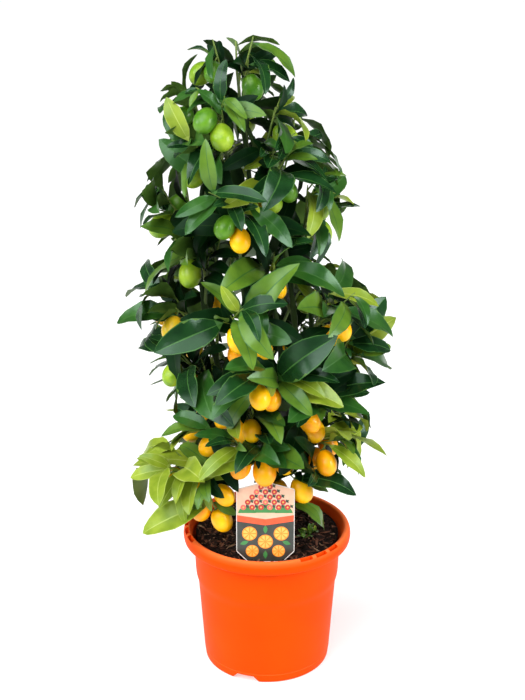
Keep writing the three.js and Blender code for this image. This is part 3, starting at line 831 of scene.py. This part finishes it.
def hasRoom(one, sides, exempt):
    # stands a twig where nothing is in its way
    solid = limb(one["path"], np.linspace(*one["radii"], len(one["path"])), sides)
    if standing.meets(solid, exempt):
        return False
    standing.add(solid, one["name"])
    return True


def growShoot(spray):
    # a sagging line from the stem to the mass, turned aside where the stems are in its way
    for attempt in range(shoot["tries"]):
        root = stemAt(spray["stem"], spray["rootHeight"])
        moved = (1 if attempt % 2 else -1) * shoot["shift"] * math.ceil(attempt / 2)
        axis = axisAt(spray["heart"].z)
        tip = turnAbout(spray["heart"] - axis, up, moved) + axis
        path = [root, root.lerp(tip, 0.5) + up * shoot["sag"], tip]
        solid = limb(path, np.linspace(shoot["radius"], shoot["tipRadius"], 3), shoot["sides"])
        if not standing.meets(solid, [f"stem_{spray['stem'] + 1}"]):
            break
    standing.add(solid, spray["name"] + "_shoot")
    return twigOf(spray["name"] + "_shoot", path, shoot)


def sideTwig(spray, parent, index):
    # a straight twig off the shoot, to the left and right by turns, leaning outwards
    random = seeded(spray["key"], 50 + index)
    root, along = onLine(parent["path"], twig["from"] + twig["step"] * index)
    side = -1 if index % 2 else 1
    direction = turnAbout(along, up, side * (twig["spread"] + twig["sway"] * (random() - 0.5)))
    direction += outwardAt(root) * twig["outward"]
    direction.z += twig["rise"] * (random() - twig["fallShare"])
    direction.normalize()
    tip = root + direction * twig["length"] * someSize(twig, random)
    return twigOf(f"{spray['name']}_twig_{index}", [root, tip], twig)


def hangFruit(spray, twigs, index):
    # a fruit on its stalk, tried along the mass's twigs until nothing is in its way or in front of it
    tilt = Vector((0, 1, 0)).rotation_difference(Vector(fruit["tilt"]).normalized())
    for attempt in range(fruit["tries"]):
        random = seeded(spray["key"], 200 + index, attempt)
        host = twigs[(index + attempt) % len(twigs)]
        root, _ = onLine(host["path"], fruit["span"][0] + fruit["span"][1] * random())
        direction = outwardAt(root) * (fruit["outward"][0] + fruit["outward"][1] * random())
        direction = turnAbout(direction, up, fruit["spin"] * (random() - 0.5))
        direction.z = -fruit["fall"]
        direction.normalize()
        size = someSize(fruit, random)
        spin = up.rotation_difference(direction) @ tilt
        length = fruit["length"] * size
        centre = root + direction * (fruit["stalk"] + length / 2)
        ball = ballSolid(centre, spin, fruit["width"] * size, length)
        end = root + direction * (fruit["stalk"] + fruit["stalkEnd"])
        stalk = limb([root, end], [fruit["stalkRadius"]] * 2, 3)
        if any(standing.meets(solid, [host["name"], "fruit_view"]) for solid in (stalk, ball)):
            continue
        for solid in (stalk, ball):
            standing.add(solid, spray["name"] + "_fruit")
        out = centre + outwardAt(centre) * fruit["viewDepth"]
        standing.add(limb([centre, out], [fruit["viewRadius"]] * 2, 4), "fruit_view")
        axis = spin @ Vector((0, -1, 0))  # towards the stalk
        return {"root": root, "centre": centre, "axis": axis, "size": size, "key": spray["key"] * 10 + index}
    return None


def ballSolid(centre, spin, width, length):
    # the plain fruit of few faces, for trying its room
    polar = np.linspace(0, math.pi, fruit["along"] + 1)[1:-1, None]
    azimuth = ringAngles(fruit["around"])
    x = -np.cos(azimuth) * np.sin(polar) * width / 2
    y = np.broadcast_to(np.cos(polar) * length / 2, x.shape)
    z = np.sin(azimuth) * np.sin(polar) * width / 2
    rings = np.stack([x, y, z], axis=2) @ np.array(spin.to_matrix()).T
    points, faceSets = closeRings(rings + np.array(centre))
    for pole, share in ((-2, 0.5), (-1, -0.5)):
        points[pole] = np.array(centre + spin @ Vector((0, share * length, 0)))
    return plain((points, faceSets))


def leafSolid(place, start, thickness):
    # the plain blade of eight faces, for trying its room
    root, direction, normal, length = place["root"], place["direction"], place["normal"], place["length"]
    across = direction.cross(normal)
    half = length * leaf["widthShare"] / 2

    def at(s, side, lift):
        rise = 4 * leaf["arch"] * length * s * (1 - s) + abs(side) * half * leaf["fold"] + lift
        return tuple(root + direction * (s * length) + across * (side * half) + normal * rise)

    widest = leaf["widest"]
    points = [at(start, 0, 0), at(widest, -1, 0), at(1, 0, 0), at(widest, 1, 0),
              at(widest, 0, thickness / 2), at(widest, 0, -thickness / 2)]
    faces = [face for i in range(4) for face in ((i, (i + 1) % 4, 4), ((i + 1) % 4, i, 5))]
    return points, faces


def leafAt(root, direction, length, facing=None):
    # a leaf's place: its upper side faces out and up, or as given
    facing = facing or outwardAt(root) * leaf["facing"][0] + up * leaf["facing"][1]
    normal = (facing - direction * facing.dot(direction)).normalized()
    return {"root": root, "direction": direction, "normal": normal, "length": length}


def leafPlace(spray, host, share, index, attempt, scale):
    # a leaf of the rule: its direction by the golden angle, a splay and a droop, its length by the tier
    random = seeded(spray["key"], 300 + index, attempt)
    root, _ = onLine(host["path"], share)
    outward = outwardAt(root)
    level = up.cross(outward)
    whorl = golden * index + leaf["sprayTurn"] * spray["key"] + leaf["tryTurn"] * attempt * (random() - 0.5)
    whorl = math.radians(whorl)
    splay = math.radians(mix(*leaf["splay"], random()))
    direction = (level * math.cos(whorl) + up * math.sin(whorl)) * math.sin(splay) + outward * math.cos(splay)
    direction.z -= mix(*leaf["droop"], random()) * spray["tier"]["droop"]
    direction.normalize()
    place = leafAt(root, direction, spray["tier"]["leaf"])
    place["normal"] = turnAbout(place["normal"], direction, leaf["spin"] * (random() - 0.5))
    place["length"] = place["length"] * someSize(leaf, random) * (1 - leaf["shrink"] * attempt) * scale
    place["root"] = root - direction * leaf["rootDepth"]
    return place


def insideCrown(place):
    # whether a leaf's tip is within the tiers' reach and between the crown's lowest line and its top
    tip = place["root"] + place["direction"] * place["length"]
    lowest = mix(*crown["lowest"], smoothstep(tip.x, crown["lowestFrom"], crown["lowestTo"]))
    reach = tierValue("reach", tip.z) + crown["slack"]
    return (tip - axisAt(tip.z)).length < reach and lowest < tip.z < crown["top"]


def growLeaf(spray, host, share, index, scale=1.0, thickness=leaf["thickness"]):
    # the first place tried that has room for the blade, and loosely for all but its root
    for attempt in range(leaf["tries"]):
        place = leafPlace(spray, host, share, index, attempt, scale)
        if not insideCrown(place):
            continue
        blade = leafSolid(place, 0, thickness)
        roomy = leafSolid(place, leaf["looseFrom"], leaf["looseness"] * thickness)
        if standing.meets(blade, [host["name"]]) or standing.meets(roomy, []):
            continue
        standing.add(roomy, spray["name"])
        standing.add(blade, spray["name"])
        return place
    return None


def finerTwig(spray, parent, share, index):
    # a short twig off a shoot or side twig, turned by the golden angle from the one before
    random = seeded(spray["key"], 600 + index)
    root, along = onLine(parent["path"], share)
    outward = outwardAt(root)
    level = up.cross(outward)
    whorl = math.radians(golden * index + finer["sprayTurn"] * spray["key"])
    sideways = level * math.cos(whorl) + up * (finer["rise"][0] + finer["rise"][1] * math.sin(whorl))
    direction = along + outward * finer["outward"] + sideways * math.tan(math.radians(finer["spread"]))
    tip = root + direction.normalized() * mix(*finer["length"], random())
    path = [root, root.lerp(tip, 0.5) + up * finer["arch"], tip]
    return twigOf(f"{spray['name']}_fine_{index}", path, finer)


def boxSolid(low, high):
    # an upright box between two corners
    outline = [(low[0], low[1]), (high[0], low[1]), (high[0], high[1]), (low[0], high[1])]
    return plain(prism(outline, low[2], high[2]))


tagRoom = {  # kept free at the tag, and before it in a wedge that rises towards its front
    "ahead": 1, "behind": 8, "viewFrom": 2, "viewTo": 97, "viewTop": 255, "viewRise": 35,
}


def standFixed():
    # the tag and the room for seeing it, the trunk and the stems
    low = tag["centre"] - tag["width"] / 2
    high = low + tag["width"]
    front = tag["front"]
    bottom = tag["bottom"]
    standing.add(boxSolid((low, front - tagRoom["ahead"], bottom - tag["spikeLength"]),
                          (high, front + tagRoom["behind"], bottom + tag["height"])), "tag")
    near = front - tagRoom["viewFrom"]
    depth = tagRoom["viewTo"] - tagRoom["viewFrom"]
    points, faces = boxSolid((low, front - tagRoom["viewTo"], bottom), (high, near, tagRoom["viewTop"]))
    points = [(x, y, z + (near - y) / depth * tagRoom["viewRise"]) for x, y, z in points]
    standing.add((points, faces), "view")
    shares = np.linspace(0, 1, 7)
    standing.add(limb([trunkAt(t) for t in shares], trunkRadii(shares) + clear, 8), "trunk")
    for k in range(len(stem["azimuths"])):
        radii = np.linspace(stem["baseRadius"], stem["tipRadius"], 9) + clear
        standing.add(limb([stemAt(k, z) for z in stemHeights(k, 9)], radii, 6), f"stem_{k + 1}")


def layOut():
    # grow wood, fruit and leaves in the same order as the solids
    standFixed()
    for spray in sprays:
        main = growShoot(spray)
        twigs = [sideTwig(spray, main, i) for i in range(twig["perShoot"])]
        spray["twigs"] = [main] + [one for one in twigs if hasRoom(one, shoot["sides"], [main["name"]])]
        spray["isBack"] = math.sin(math.radians(spray["azimuth"])) > crown["back"]
    for spray in sprays:
        count = spray["tier"]["fruit"] - (1 if spray["isBack"] else 0)
        spray["fruit"] = [hangFruit(spray, spray["twigs"], i) for i in range(count)]
    for spray in sprays:  # one more where it shows
        spray["fruit"] += [] if spray["isBack"] else [hangFruit(spray, spray["twigs"], 5)]
    for spray in sprays:
        main, *sides = spray["twigs"]
        spray["leaves"] = []
        for i in range(leaf["onShoot"]):
            share = mix(*leaf["shootSpan"], math.sqrt((i + 0.5) / leaf["onShoot"]))
            spray["leaves"].append(growLeaf(spray, main, share, i))
        for s, one in enumerate(sides, 1):
            for i in range(leaf["onTwig"]):
                share = mix(*leaf["twigSpan"], (i + 0.5) / leaf["onTwig"])
                spray["leaves"].append(growLeaf(spray, one, share, 20 * s + i))


def layOutFiner():
    # the finer twigs with their own smaller leaves, in what room is left
    for spray in sprays:
        main, *sides = spray["twigs"]
        spots = [(main, share) for share in finer["onMain"]]
        spots += [(one, share) for one in sides for share in finer["onSide"]]
        spray["finer"] = []
        for index, (parent, share) in enumerate(spots[-spray["tier"]["finer"]:]):
            one = finerTwig(spray, parent, share, index)
            isLow = one["path"][-1].z <= crown["top"] - finer["headroom"]
            if isLow and hasRoom(one, 3, [parent["name"], spray["name"]]):
                spray["finer"].append(one)
    for spray in sprays:
        for number, one in enumerate(spray["finer"], 10):
            for i in range(finer["leaves"]):
                share = mix(*finer["leafSpan"], (i + 0.5) / finer["leaves"])
                place = growLeaf(spray, one, share, 10 * number + i, finer["leafShare"], finer["thickness"])
                spray["leaves"].append(place)


# low twigs at the front, with fruit over the soil: the root of each stalk with the fruit's centre, size and
# seed, and each leaf's share of the twig, direction and length
sprigs = (
    {"path": ((-69, -48, 259), (-67, -55, 243), (-62, -58, 228)), "radii": (1.0, 0.8),
     "fruit": (((-66, -56, 239), (-75, -52, 216), 0.92, 941), ((-67, -60, 259), (-49, -64, 241), 0.94, 942),
               ((-62, -58, 228), (-52, -58, 207), 1.0, 943)),
     "leaves": ((0.94, (-0.89, -0.11, -0.44), 90), (0.95, (0.87, -0.09, -0.48), 32),
                (0.47, (-0.56, -0.09, -0.82), 45), (0.24, (0.11, -0.57, -0.81), 34))},
    {"path": ((3, -5, 208), (17, -26, 220), (30, -41, 217)), "radii": (1.3, 0.8), "fruit": (),
     "leaves": ((0.97, (0.66, 0.3, -0.62), 60), (0.9, (0.82, -0.35, -0.42), 42),
                (0.75, (0.62, 0.72, -0.15), 38))},
)


def layOutSprigs():
    # the sprigs' twigs, fruit and leaves in the same form as the rule's
    twigs = []
    hanging = []
    young = []
    for sprig in sprigs:
        path = [Vector(point) for point in sprig["path"]]
        twigs.append({"name": "sprig", "path": path, "radii": sprig["radii"]})
        for root, centre, size, key in sprig["fruit"]:
            root = Vector(root)
            centre = Vector(centre)
            axis = (root - centre).normalized()
            hanging.append({"root": root, "centre": centre, "axis": axis, "size": size, "key": key})
        for share, direction, length in sprig["leaves"]:
            young.append(leafAt(onLine(path, share)[0], Vector(direction).normalized(), length))
    return twigs, hanging, young


def trunkRadii(shares):
    # r(z) = straight taper + flare that fades exponentially upwards from the foot
    z = trunk["height"] * np.asarray(shares)
    flare = (trunk["footRadius"] - trunk["radius"]) * np.exp(-z / (trunk["flareHeight"] * 0.5))
    return trunk["radius"] + (trunk["topRadius"] - trunk["radius"]) * np.asarray(shares) + flare


def stemHeights(index, count):
    # heights from the stem's fork to its highest shoot
    top = max(spray["rootHeight"] for spray in sprays if spray["stem"] == index)
    return np.linspace(stem["forkHeights"][index], top, count)


layOut()
print("rule grown:", sum(len([p for p in s["leaves"] if p]) for s in sprays), "leaves")
layOutFiner()
sprigTwigs, sprigFruit, youngLeaves = layOutSprigs()
print("low sprigs:", len(youngLeaves), "leaves,", len(sprigFruit), "fruit")
places = [place for spray in sprays for place in spray["leaves"] if place]
fruits = [one for spray in sprays for one in spray["fruit"] if one] + sprigFruit
print("finer growth:", len(places), "leaves,", len(fruits), "fruit")

# trunk and stems with the relief of their bark
bark = {
    "trunkRows": 110, "trunkColumns": 72, "trunkStretch": 0.18, "ridge": 0.55, "ridgeSize": 2.6,
    "lump": 0.8, "lumpSize": 12, "buttress": 1.6, "buttresses": 5, "buttressTurn": 0.6, "buttressFade": 7,
    "sunk": 1.5, "stemRows": 130, "stemColumns": 14, "stemStretch": 0.2, "fineRidge": 0.22, "fineSize": 1.7,
    "fineLump": 0.25, "fineLumpSize": 9, "swelling": 0.9, "swellingWidth": 5,
}


def makeTrunk(material):
    # radius(angle, z) = taper and foot flare + long ridges + low lumps + five buttresses that fade upwards
    shares = np.linspace(0, 1, bark["trunkRows"]) ** 1.3
    centre = np.array([trunkAt(t) for t in shares])[:, None]
    angles = ringAngles(bark["trunkColumns"])
    outward = polar(1, angles, 0)
    radii = trunkRadii(shares)[:, None]
    smooth = centre + outward * radii[..., None]
    ridges = 1 - np.abs(noise(smooth * [1, 1, bark["trunkStretch"]], bark["ridgeSize"], 5))
    relief = bark["ridge"] * (ridges - 0.6) + bark["lump"] * noise(smooth, bark["lumpSize"], 6)
    wave = np.cos(bark["buttresses"] * angles + bark["buttressTurn"])
    relief += bark["buttress"] * wave * np.exp(-(centre[..., 2] - trunkFoot) / bark["buttressFade"])
    fade = np.clip((shares[-1] - shares) * 30, 0.2, 1)[:, None]
    points = centre + outward * (radii + relief * fade)[..., None]
    points[0, :, 2] -= bark["sunk"]  # into the crumbs of the soil
    addPiece("trunk_bark", closeRings(points), [material], ["trunk"], 80)


def makeStems(material):
    # tubes along the stems' own lines, with fine ridges and a swelling where each shoot leaves
    parts = []
    for k in range(len(stem["azimuths"])):
        heights = stemHeights(k, bark["stemRows"])
        path = np.array([stemAt(k, z) for z in heights])
        radii = np.linspace(stem["baseRadius"], stem["tipRadius"], len(heights))
        for spray in sprays:
            if spray["stem"] == k:
                away = (heights - spray["rootHeight"]) / bark["swellingWidth"]
                radii = radii + bark["swelling"] * np.exp(-away ** 2)
        points, faceSets = tube(path, radii, bark["stemColumns"])
        body = points[:-2].reshape(len(path), -1, 3)
        relief = bark["fineRidge"] * noise(body * [1, 1, bark["stemStretch"]], bark["fineSize"], k)
        relief = relief + bark["fineLump"] * noise(body, bark["fineLumpSize"], 20 + k)
        points[:-2] = (body + unit(body - path[:, None]) * relief[..., None]).reshape(-1, 3)
        parts.append((points, faceSets))
    names = [f"stem_{k + 1}" for k in range(len(stem["azimuths"]))]
    addPiece("stems_bark", join(parts), [material], names, 80)


trunkLook = {"patch": 9, "bumpSize": 2.2, "bumpDepth": 0.5, "specular": 0.2, "stretch": (1, 1, 0.3)}
stemLook = {"patch": 14, "bumpSize": 2, "bumpDepth": 0.25, "specular": 0.15, "stretch": (1, 1, 0.3)}
makeTrunk(makeMaterial("trunkBark", [(74, 66, 44), (128, 116, 84)], 0.86, **trunkLook))
makeStems(makeMaterial("stemBark", [(24, 44, 18), (46, 66, 28)], 0.6, **stemLook))


# twigs and fruit stalks, each with its rows, sides and material
wood = {
    "main": (12, 7, 0), "side": (7, 6, 1), "stalk": (6, 6, 1), "soften": 0.12, "tipShare": 0.6,
    "stalkRadii": (0.8, 1.15), "stalkBow": 0.8,
}


def bentLine(path, count):
    # the twig's own line with its corner softened: each point is the mean of three along it
    shares = np.linspace(0, 1, count)

    def at(share):
        return np.array([onLine(path, s)[0] for s in np.clip(share, 0, 1)])

    near = np.minimum(wood["soften"], np.minimum(shares, 1 - shares))
    return (at(shares - near) + at(shares) + at(shares + near)) / 3


def makeTwigs(materials):
    # tubes along softened lines, with more rows and sides and another material on the main shoots
    parts = []
    for one in [one for spray in sprays for one in spray["twigs"] + spray["finer"]] + sprigTwigs:
        rows, sides, kind = wood["main"] if one["name"].endswith("shoot") else wood["side"]
        radii = np.linspace(*one["radii"], rows)
        radii[-1] *= wood["tipShare"]
        parts.append(tube(bentLine(one["path"], rows), radii, sides, kind))
    rows, sides, kind = wood["stalk"]
    for one in fruits:
        top = one["centre"] + one["axis"] * (fruit["length"] * one["size"] / 2)
        middle = one["root"].lerp(top, 0.5) + outwardAt(one["root"]) * wood["stalkBow"]
        line = bentLine([one["root"], middle, top], rows)
        parts.append(tube(line, np.linspace(*wood["stalkRadii"], rows), sides, kind))
    addPiece("twigs", join(parts), materials, (), 70)


makeTwigs([
    makeMaterial("shootGreen", [(62, 86, 38), (92, 112, 54)], 0.55, patch=12, bumpSize=2, bumpDepth=0.15),
    makeMaterial("twigGreen", [(96, 122, 46), (124, 148, 60)], 0.5, patch=12, bumpSize=2, bumpDepth=0.1),
])

# fruit: ovals with a dimple and calyx at the stalk and a dot at the other end
berry = {
    "columns": 20, "rows": 14, "ends": (0.05, 0.04), "taper": 0.06, "dimple": 1.1, "dimpleWidth": 0.28,
    "lumps": (0.012, 0.006), "calyxColumns": 20, "calyxRadius": 2.3, "calyxPoints": 0.8, "scatter": 40,
    "ripening": (  # the height it holds above, and running shares of green, lime, turning and yellow fruit
        (545, (0.5,)), (450, (0.3, 0.45, 0.6)), (0, (0.08, 0.2, 0.32, 0.75)),
    ),
}


def berryShape(one):
    # r(t) = W/2 sin t (1 - taper cos t), height(t) = L/2 cos t less a dimple at the stalk, turned to the axis
    random = seeded(one["key"], 700)
    t = np.linspace(berry["ends"][0], math.pi - berry["ends"][1], berry["rows"])[::-1, None]
    angles = ringAngles(berry["columns"])
    radius = fruit["width"] * one["size"] / 2 * np.sin(t) * (1 - berry["taper"] * np.cos(t))
    dimple = berry["dimple"] * np.exp(-(t / berry["dimpleWidth"]) ** 2)
    height = fruit["length"] * one["size"] / 2 * np.cos(t) - dimple
    oval, ribs = berry["lumps"]
    lumps = 1 + oval * np.cos(2 * angles + turn * random()) + ribs * np.cos(5 * angles)
    spin = np.array(up.rotation_difference(one["axis"]).to_matrix())
    z = one["centre"].z + berry["scatter"] * (random() - 0.5)
    shares = next(shares for low, shares in berry["ripening"] if z > low)
    kind = int(np.searchsorted(shares, random(), side="right"))
    rings = polar(radius * lumps, angles, height) @ spin.T + np.array(one["centre"])
    points, faceSets = closeRings(rings, kind)
    faceSets[1] = (faceSets[1][0], np.repeat([5, 6], len(angles)))  # the dot, and green under the calyx
    return (points, faceSets), calyx(one, spin, random())


def calyx(one, spin, start):
    # a five-pointed cap: ring(a) with radius + points cos 5a, lying on the dimple round the stalk
    angles = ringAngles(berry["calyxColumns"]) + start
    wave = berry["calyxRadius"] + berry["calyxPoints"] * np.cos(5 * angles)
    top = fruit["length"] * one["size"] / 2 - berry["dimple"]
    steps = ((0.95, -0.3), (1, 0.3), (0.5, 0.9))
    rings = np.stack([polar(wave * share, angles, top + lift) for share, lift in steps])
    return closeRings(rings @ spin.T + np.array(one["centre"]), 6)


def makeFruit(materials):
    # a berry and its calyx for each fruit
    shapes = [shape for one in fruits for shape in berryShape(one)]
    addPiece("fruit", join(shapes), materials, (), 60)


rind = {"specular": 0.32, "coat": 0.08, "bumpSize": 1.3, "bumpDepth": 0.09}
makeFruit([
    *(makeMaterial(name, tones, 0.34, patch=patch, **rind) for name, tones, patch in (
        ("fruitGreen", [(58, 112, 20), (92, 142, 30)], 14),
        ("fruitLime", [(112, 152, 26), (150, 180, 42)], 14),
        ("fruitTurning", [(196, 170, 28), (236, 176, 26)], 16),
        ("fruitYellow", [(255, 182, 0), (255, 202, 4)], 16),
        ("fruitAmber", [(253, 154, 0), (255, 178, 0)], 16))),
    makeMaterial("fruitDot", [(112, 92, 40), (130, 108, 48)], 0.6, patch=2),
    makeMaterial("calyxGreen", [(84, 112, 48), (104, 130, 60)], 0.55, patch=4, bumpSize=1, bumpDepth=0.1),
])

# leaves: folded, arched and wavy blades with a pale midrib
blade = {
    "rows": (0.05, 0.13, 0.25, 0.4, 0.56, 0.71, 0.84, 0.94),
    "widths": (0.07, 0.38, 0.75, 0.97, 1.0, 0.88, 0.65, 0.34),
    "columns": (-1, -0.93, -0.045, 0.045, 0.93, 1),
    "thickness": 0.5, "ribDepth": 0.45, "arch": (0.05, 0.17), "bend": 0.08,
    "wave": 0.15, "waves": 1.9, "ripple": (0.4, 1.7, 1.4),  # the ripple's share of the wave, phase and count
    "fold": (0.2, 1.6), "hang": 0.09, "widthShare": 0.355, "widthSpread": 0.18,
}
# leaves near the crown's axis take a painted shade: darker greens that stand in for the shade inside the
# crown
foliage = {  # shares of dark, mid and light leaves, and of lime ones at the low left and from left to right
    "shares": (0.46, 0.32, 0.22), "leftOf": -60, "below": 300, "limeLowLeft": 0.66,
    "limeAcross": (-100, 110), "limeShares": (0.04, 0.22), "paintedShadeWithin": 0.66,  # of the tiers' reach
}
dark, mid, light, lime, paintedShade = range(5)  # material numbers of the tones; ribs and undersides follow
ribOf = np.array([5, 5, 5, 6, 7])
undersideOf = np.array([8, 8, 8, 9, 10])


def leafTones(chance, root, along, length, young):
    # dark, mid or light by chance, a darker painted shade near the crown's axis, light at the low left and on
    # young leaves, and some lime among them all
    tone = chance.choice([dark, mid, light], len(root), p=foliage["shares"])
    tip = root + along * length[:, None]
    middle = root + along * length[:, None] / 2
    lowLeft = (tip[:, 2] < foliage["below"]) & (tip[:, 0] < foliage["leftOf"])
    elsewhere = np.interp(tip[:, 0], foliage["limeAcross"], foliage["limeShares"])
    isLime = chance.uniform(0, 1, len(root)) < np.where(lowLeft, foliage["limeLowLeft"], elsewhere)
    heights, axes, reaches = ([t[key] for t in tiers[::-1]] for key in ("height", "axis", "reach"))
    fromAxis = np.hypot(middle[:, 0] - np.interp(middle[:, 2], heights, axes), middle[:, 1])
    # painted shade: leaves whose middle is near the crown's axis take the darker, duller greens of the inner
    # shade
    isPaintedShade = fromAxis < foliage["paintedShadeWithin"] * np.interp(middle[:, 2], heights, reaches)
    tone = np.where(isPaintedShade, paintedShade, tone)
    tone = np.where(lowLeft | young, light, tone)
    return np.where(isLime, lime, tone)


def leafFaces():
    # face sets of one leaf with each face's part: 0 the blade, 1 margins, rib and stalk, 2 the underside;
    # corner 0 is the root and 1 the tip, and each row has its columns and then a corner under the rib
    strips = len(blade["columns"]) - 1
    rows = 2 + (strips + 2) * np.arange(len(blade["rows"]))
    left = rows[:, None] + np.arange(strips)
    near, far = left[:-1], left[1:]
    top = np.stack([near, near + 1, far + 1, far], axis=2).reshape(-1, 4)
    topEnds = [(0, a + 1, a) for a in left[0]] + [(a, a + 1, 1) for a in left[-1]]
    pale = np.arange(strips) % 2 == 0  # the margins and the rib
    topParts = np.tile(pale, len(rows) - 1).astype(int)
    endParts = np.tile(pale, 2).astype(int)
    topParts[:strips] = endParts[:strips] = 1  # and the stalk
    sides = ((rows, rows + strips + 1), (rows + strips + 1, rows + strips))
    under = np.concatenate([np.stack([p[:-1], p[1:], q[1:], q[:-1]], axis=1) for p, q in sides])
    underEnds = [(0, p[0], q[0]) for p, q in sides] + [(q[-1], p[-1], 1) for p, q in sides]
    return ((top, topParts), (np.array(topEnds), endParts), (under, np.full(len(under), 2)),
            (np.array(underEnds), np.full(len(underEnds), 2)))


def makeLeaves(name, chosen, materials, replaced, seed, young=False):
    # point(s, u) = root + s L direction + (u w(s) half + bend L s s) across + lift normal, where lift is
    # 4 arch L s (1 - s) + half w(s) (fold |u| + wave u sin(phase + waves s)) - hang L s s s, less the blade's
    # thickness below
    chance = np.random.default_rng(seed)
    count = len(chosen)
    keys = ("root", "direction", "normal", "length")
    root, along, normal, length = (np.array([place[key] for place in chosen]) for key in keys)
    across = np.cross(along, normal)

    def each(values):
        return values[:, None, None]  # one value of each leaf, for its rows and columns

    half = each(length * blade["widthShare"] / 2 * (1 + blade["widthSpread"] * chance.uniform(-1, 1, count)))
    arch = each(chance.uniform(*blade["arch"], count))
    fold = each(leaf["fold"] * chance.uniform(*blade["fold"], count))
    bend = each(blade["bend"] * chance.uniform(-1, 1, count))
    phase = each(chance.uniform(0, turn, count))

    def surface(s, w, u, lower):
        # one point of every leaf for each row s and column u: an array of leaves x rows x columns x 3
        s = np.array(s)[:, None]
        wide = half * np.array(w)[:, None]
        u = np.array(u)
        size = each(length)
        wave = blade["wave"] * u * np.sin(phase + turn * blade["waves"] * s)
        share, shift, ripples = blade["ripple"]
        wave = wave + share * blade["wave"] * np.abs(u) * np.sin(shift * phase + turn * ripples * s)
        lift = 4 * arch * size * s * (1 - s) + wide * (fold * np.abs(u) + wave)
        lift = lift - lower - blade["hang"] * size * s ** 3
        side = u * wide + bend * size * s * s
        ahead = np.broadcast_to(s * size, lift.shape)
        return (each(root) + each(along) * ahead[..., None] + each(across) * side[..., None]
                + each(normal) * lift[..., None])

    ends = surface([0.0, 1.0], [0.0, 0.0], [0.0], 0)[:, :, 0]
    upper = surface(blade["rows"], blade["widths"], blade["columns"], 0)
    under = surface(blade["rows"], blade["widths"], [0.0], blade["thickness"] + blade["ribDepth"])
    points = np.concatenate([ends, np.concatenate([upper, under], axis=2).reshape(count, -1, 3)], axis=1)
    tone = leafTones(chance, root, along, length, young)
    kindOf = np.stack([tone, ribOf[tone], undersideOf[tone]])
    number = each(np.arange(count) * points.shape[1])
    faceSets = [((rows + number).reshape(-1, rows.shape[1]), kindOf[parts].T.ravel())
                for rows, parts in leafFaces()]
    addPiece(name, (points.reshape(-1, 3), faceSets), materials, replaced, 60)


dull = {"patch": 26, "bumpSize": 6, "bumpDepth": 0.18, "sheenTint": (0.7, 1.0, 0.84), "specular": 0.1}
wax = {**dull, "specular": 0.36}
waxy = {**wax, "coat": 0.05}
leafMaterials = [makeMaterial(name, tones, roughness, **look) for name, tones, roughness, look in (
    ("leafDark", [(12, 43, 16), (24, 62, 25)], 0.27, waxy),
    ("leafMid", [(30, 72, 22), (48, 92, 30)], 0.28, waxy),
    ("leafLight", [(70, 104, 28), (92, 126, 36)], 0.3, waxy),
    ("leafLime", [(112, 136, 27), (142, 162, 46)], 0.36, waxy),
    # painted shade: darker, duller greens, with their ribs and undersides, for the shaded leaves inside the
    # crown
    ("leafPaintedShade", [(5, 28, 8), (11, 42, 13)], 0.42, dull),
    ("ribGreen", [(48, 90, 34), (62, 104, 44)], 0.42, wax),
    ("ribLime", [(150, 170, 70), (166, 182, 88)], 0.45, wax),
    ("ribPaintedShade", [(20, 44, 16), (30, 56, 22)], 0.5, dull),
    ("underGreen", [(66, 98, 34), (88, 120, 46)], 0.52, wax),
    ("underLime", [(134, 156, 46), (156, 176, 62)], 0.52, wax),
    ("underPaintedShade", [(20, 40, 12), (32, 54, 18)], 0.55, dull),
)]
# a few seedlings that have come up in the soil
seedlings = {
    "places": ((44, -24), (51, -17), (57, -9), (50, -5)), "leaves": 5, "length": (8, 14), "lift": (0.3, 1.2),
    "sway": 90,
}


def seedlingPlaces():
    # small leaves round a point of the soil, each turned by the golden angle from the last
    chosen = []
    for number, (x, y) in enumerate(seedlings["places"]):
        random = seeded(2000, number)
        root = Vector((x, y, soilTop(math.hypot(x, y)) + soilRelief(np.array([[x, y, 0.0]]))[0]))
        for i in range(seedlings["leaves"]):
            azimuth = golden * i + seedlings["sway"] * random()
            direction = around(1, azimuth, mix(*seedlings["lift"], random())).normalized()
            chosen.append(leafAt(root, direction, mix(*seedlings["length"], random()), up))
    return chosen


split = len(places) // 2
makeLeaves("leaves_upper", places[:split], leafMaterials, [s["name"] for s in sprays], 21)
makeLeaves("leaves_lower", places[split:], leafMaterials, [], 22)
makeLeaves("leaves_young", youngLeaves + seedlingPlaces(), leafMaterials, [], 23, True)

# floor
ground = {"size": 60.0, "depth": 0.0006, "glow": 0.52}  # in metres, with a light of its own to keep it pale
half = ground["size"] / 2
floorMesh = bpy.data.meshes.new("floor")
corners = [(x * half, y * half, -ground["depth"]) for x, y in ((-1, -1), (1, -1), (1, 1), (-1, 1))]
floorMesh.from_pydata(corners, [], [(0, 1, 2, 3)])
floorPale = makeMaterial("floorPale", [(196, 196, 196), (198, 198, 198)], 0.8, patch=400, specular=0.1)
setInputs(floorPale.node_tree.nodes["Principled BSDF"],
          {"Emission Color": (1, 1, 1, 1), "Emission Strength": ground["glow"]})
floorMesh.materials.append(floorPale)
floor = addObject("floor", floorMesh)
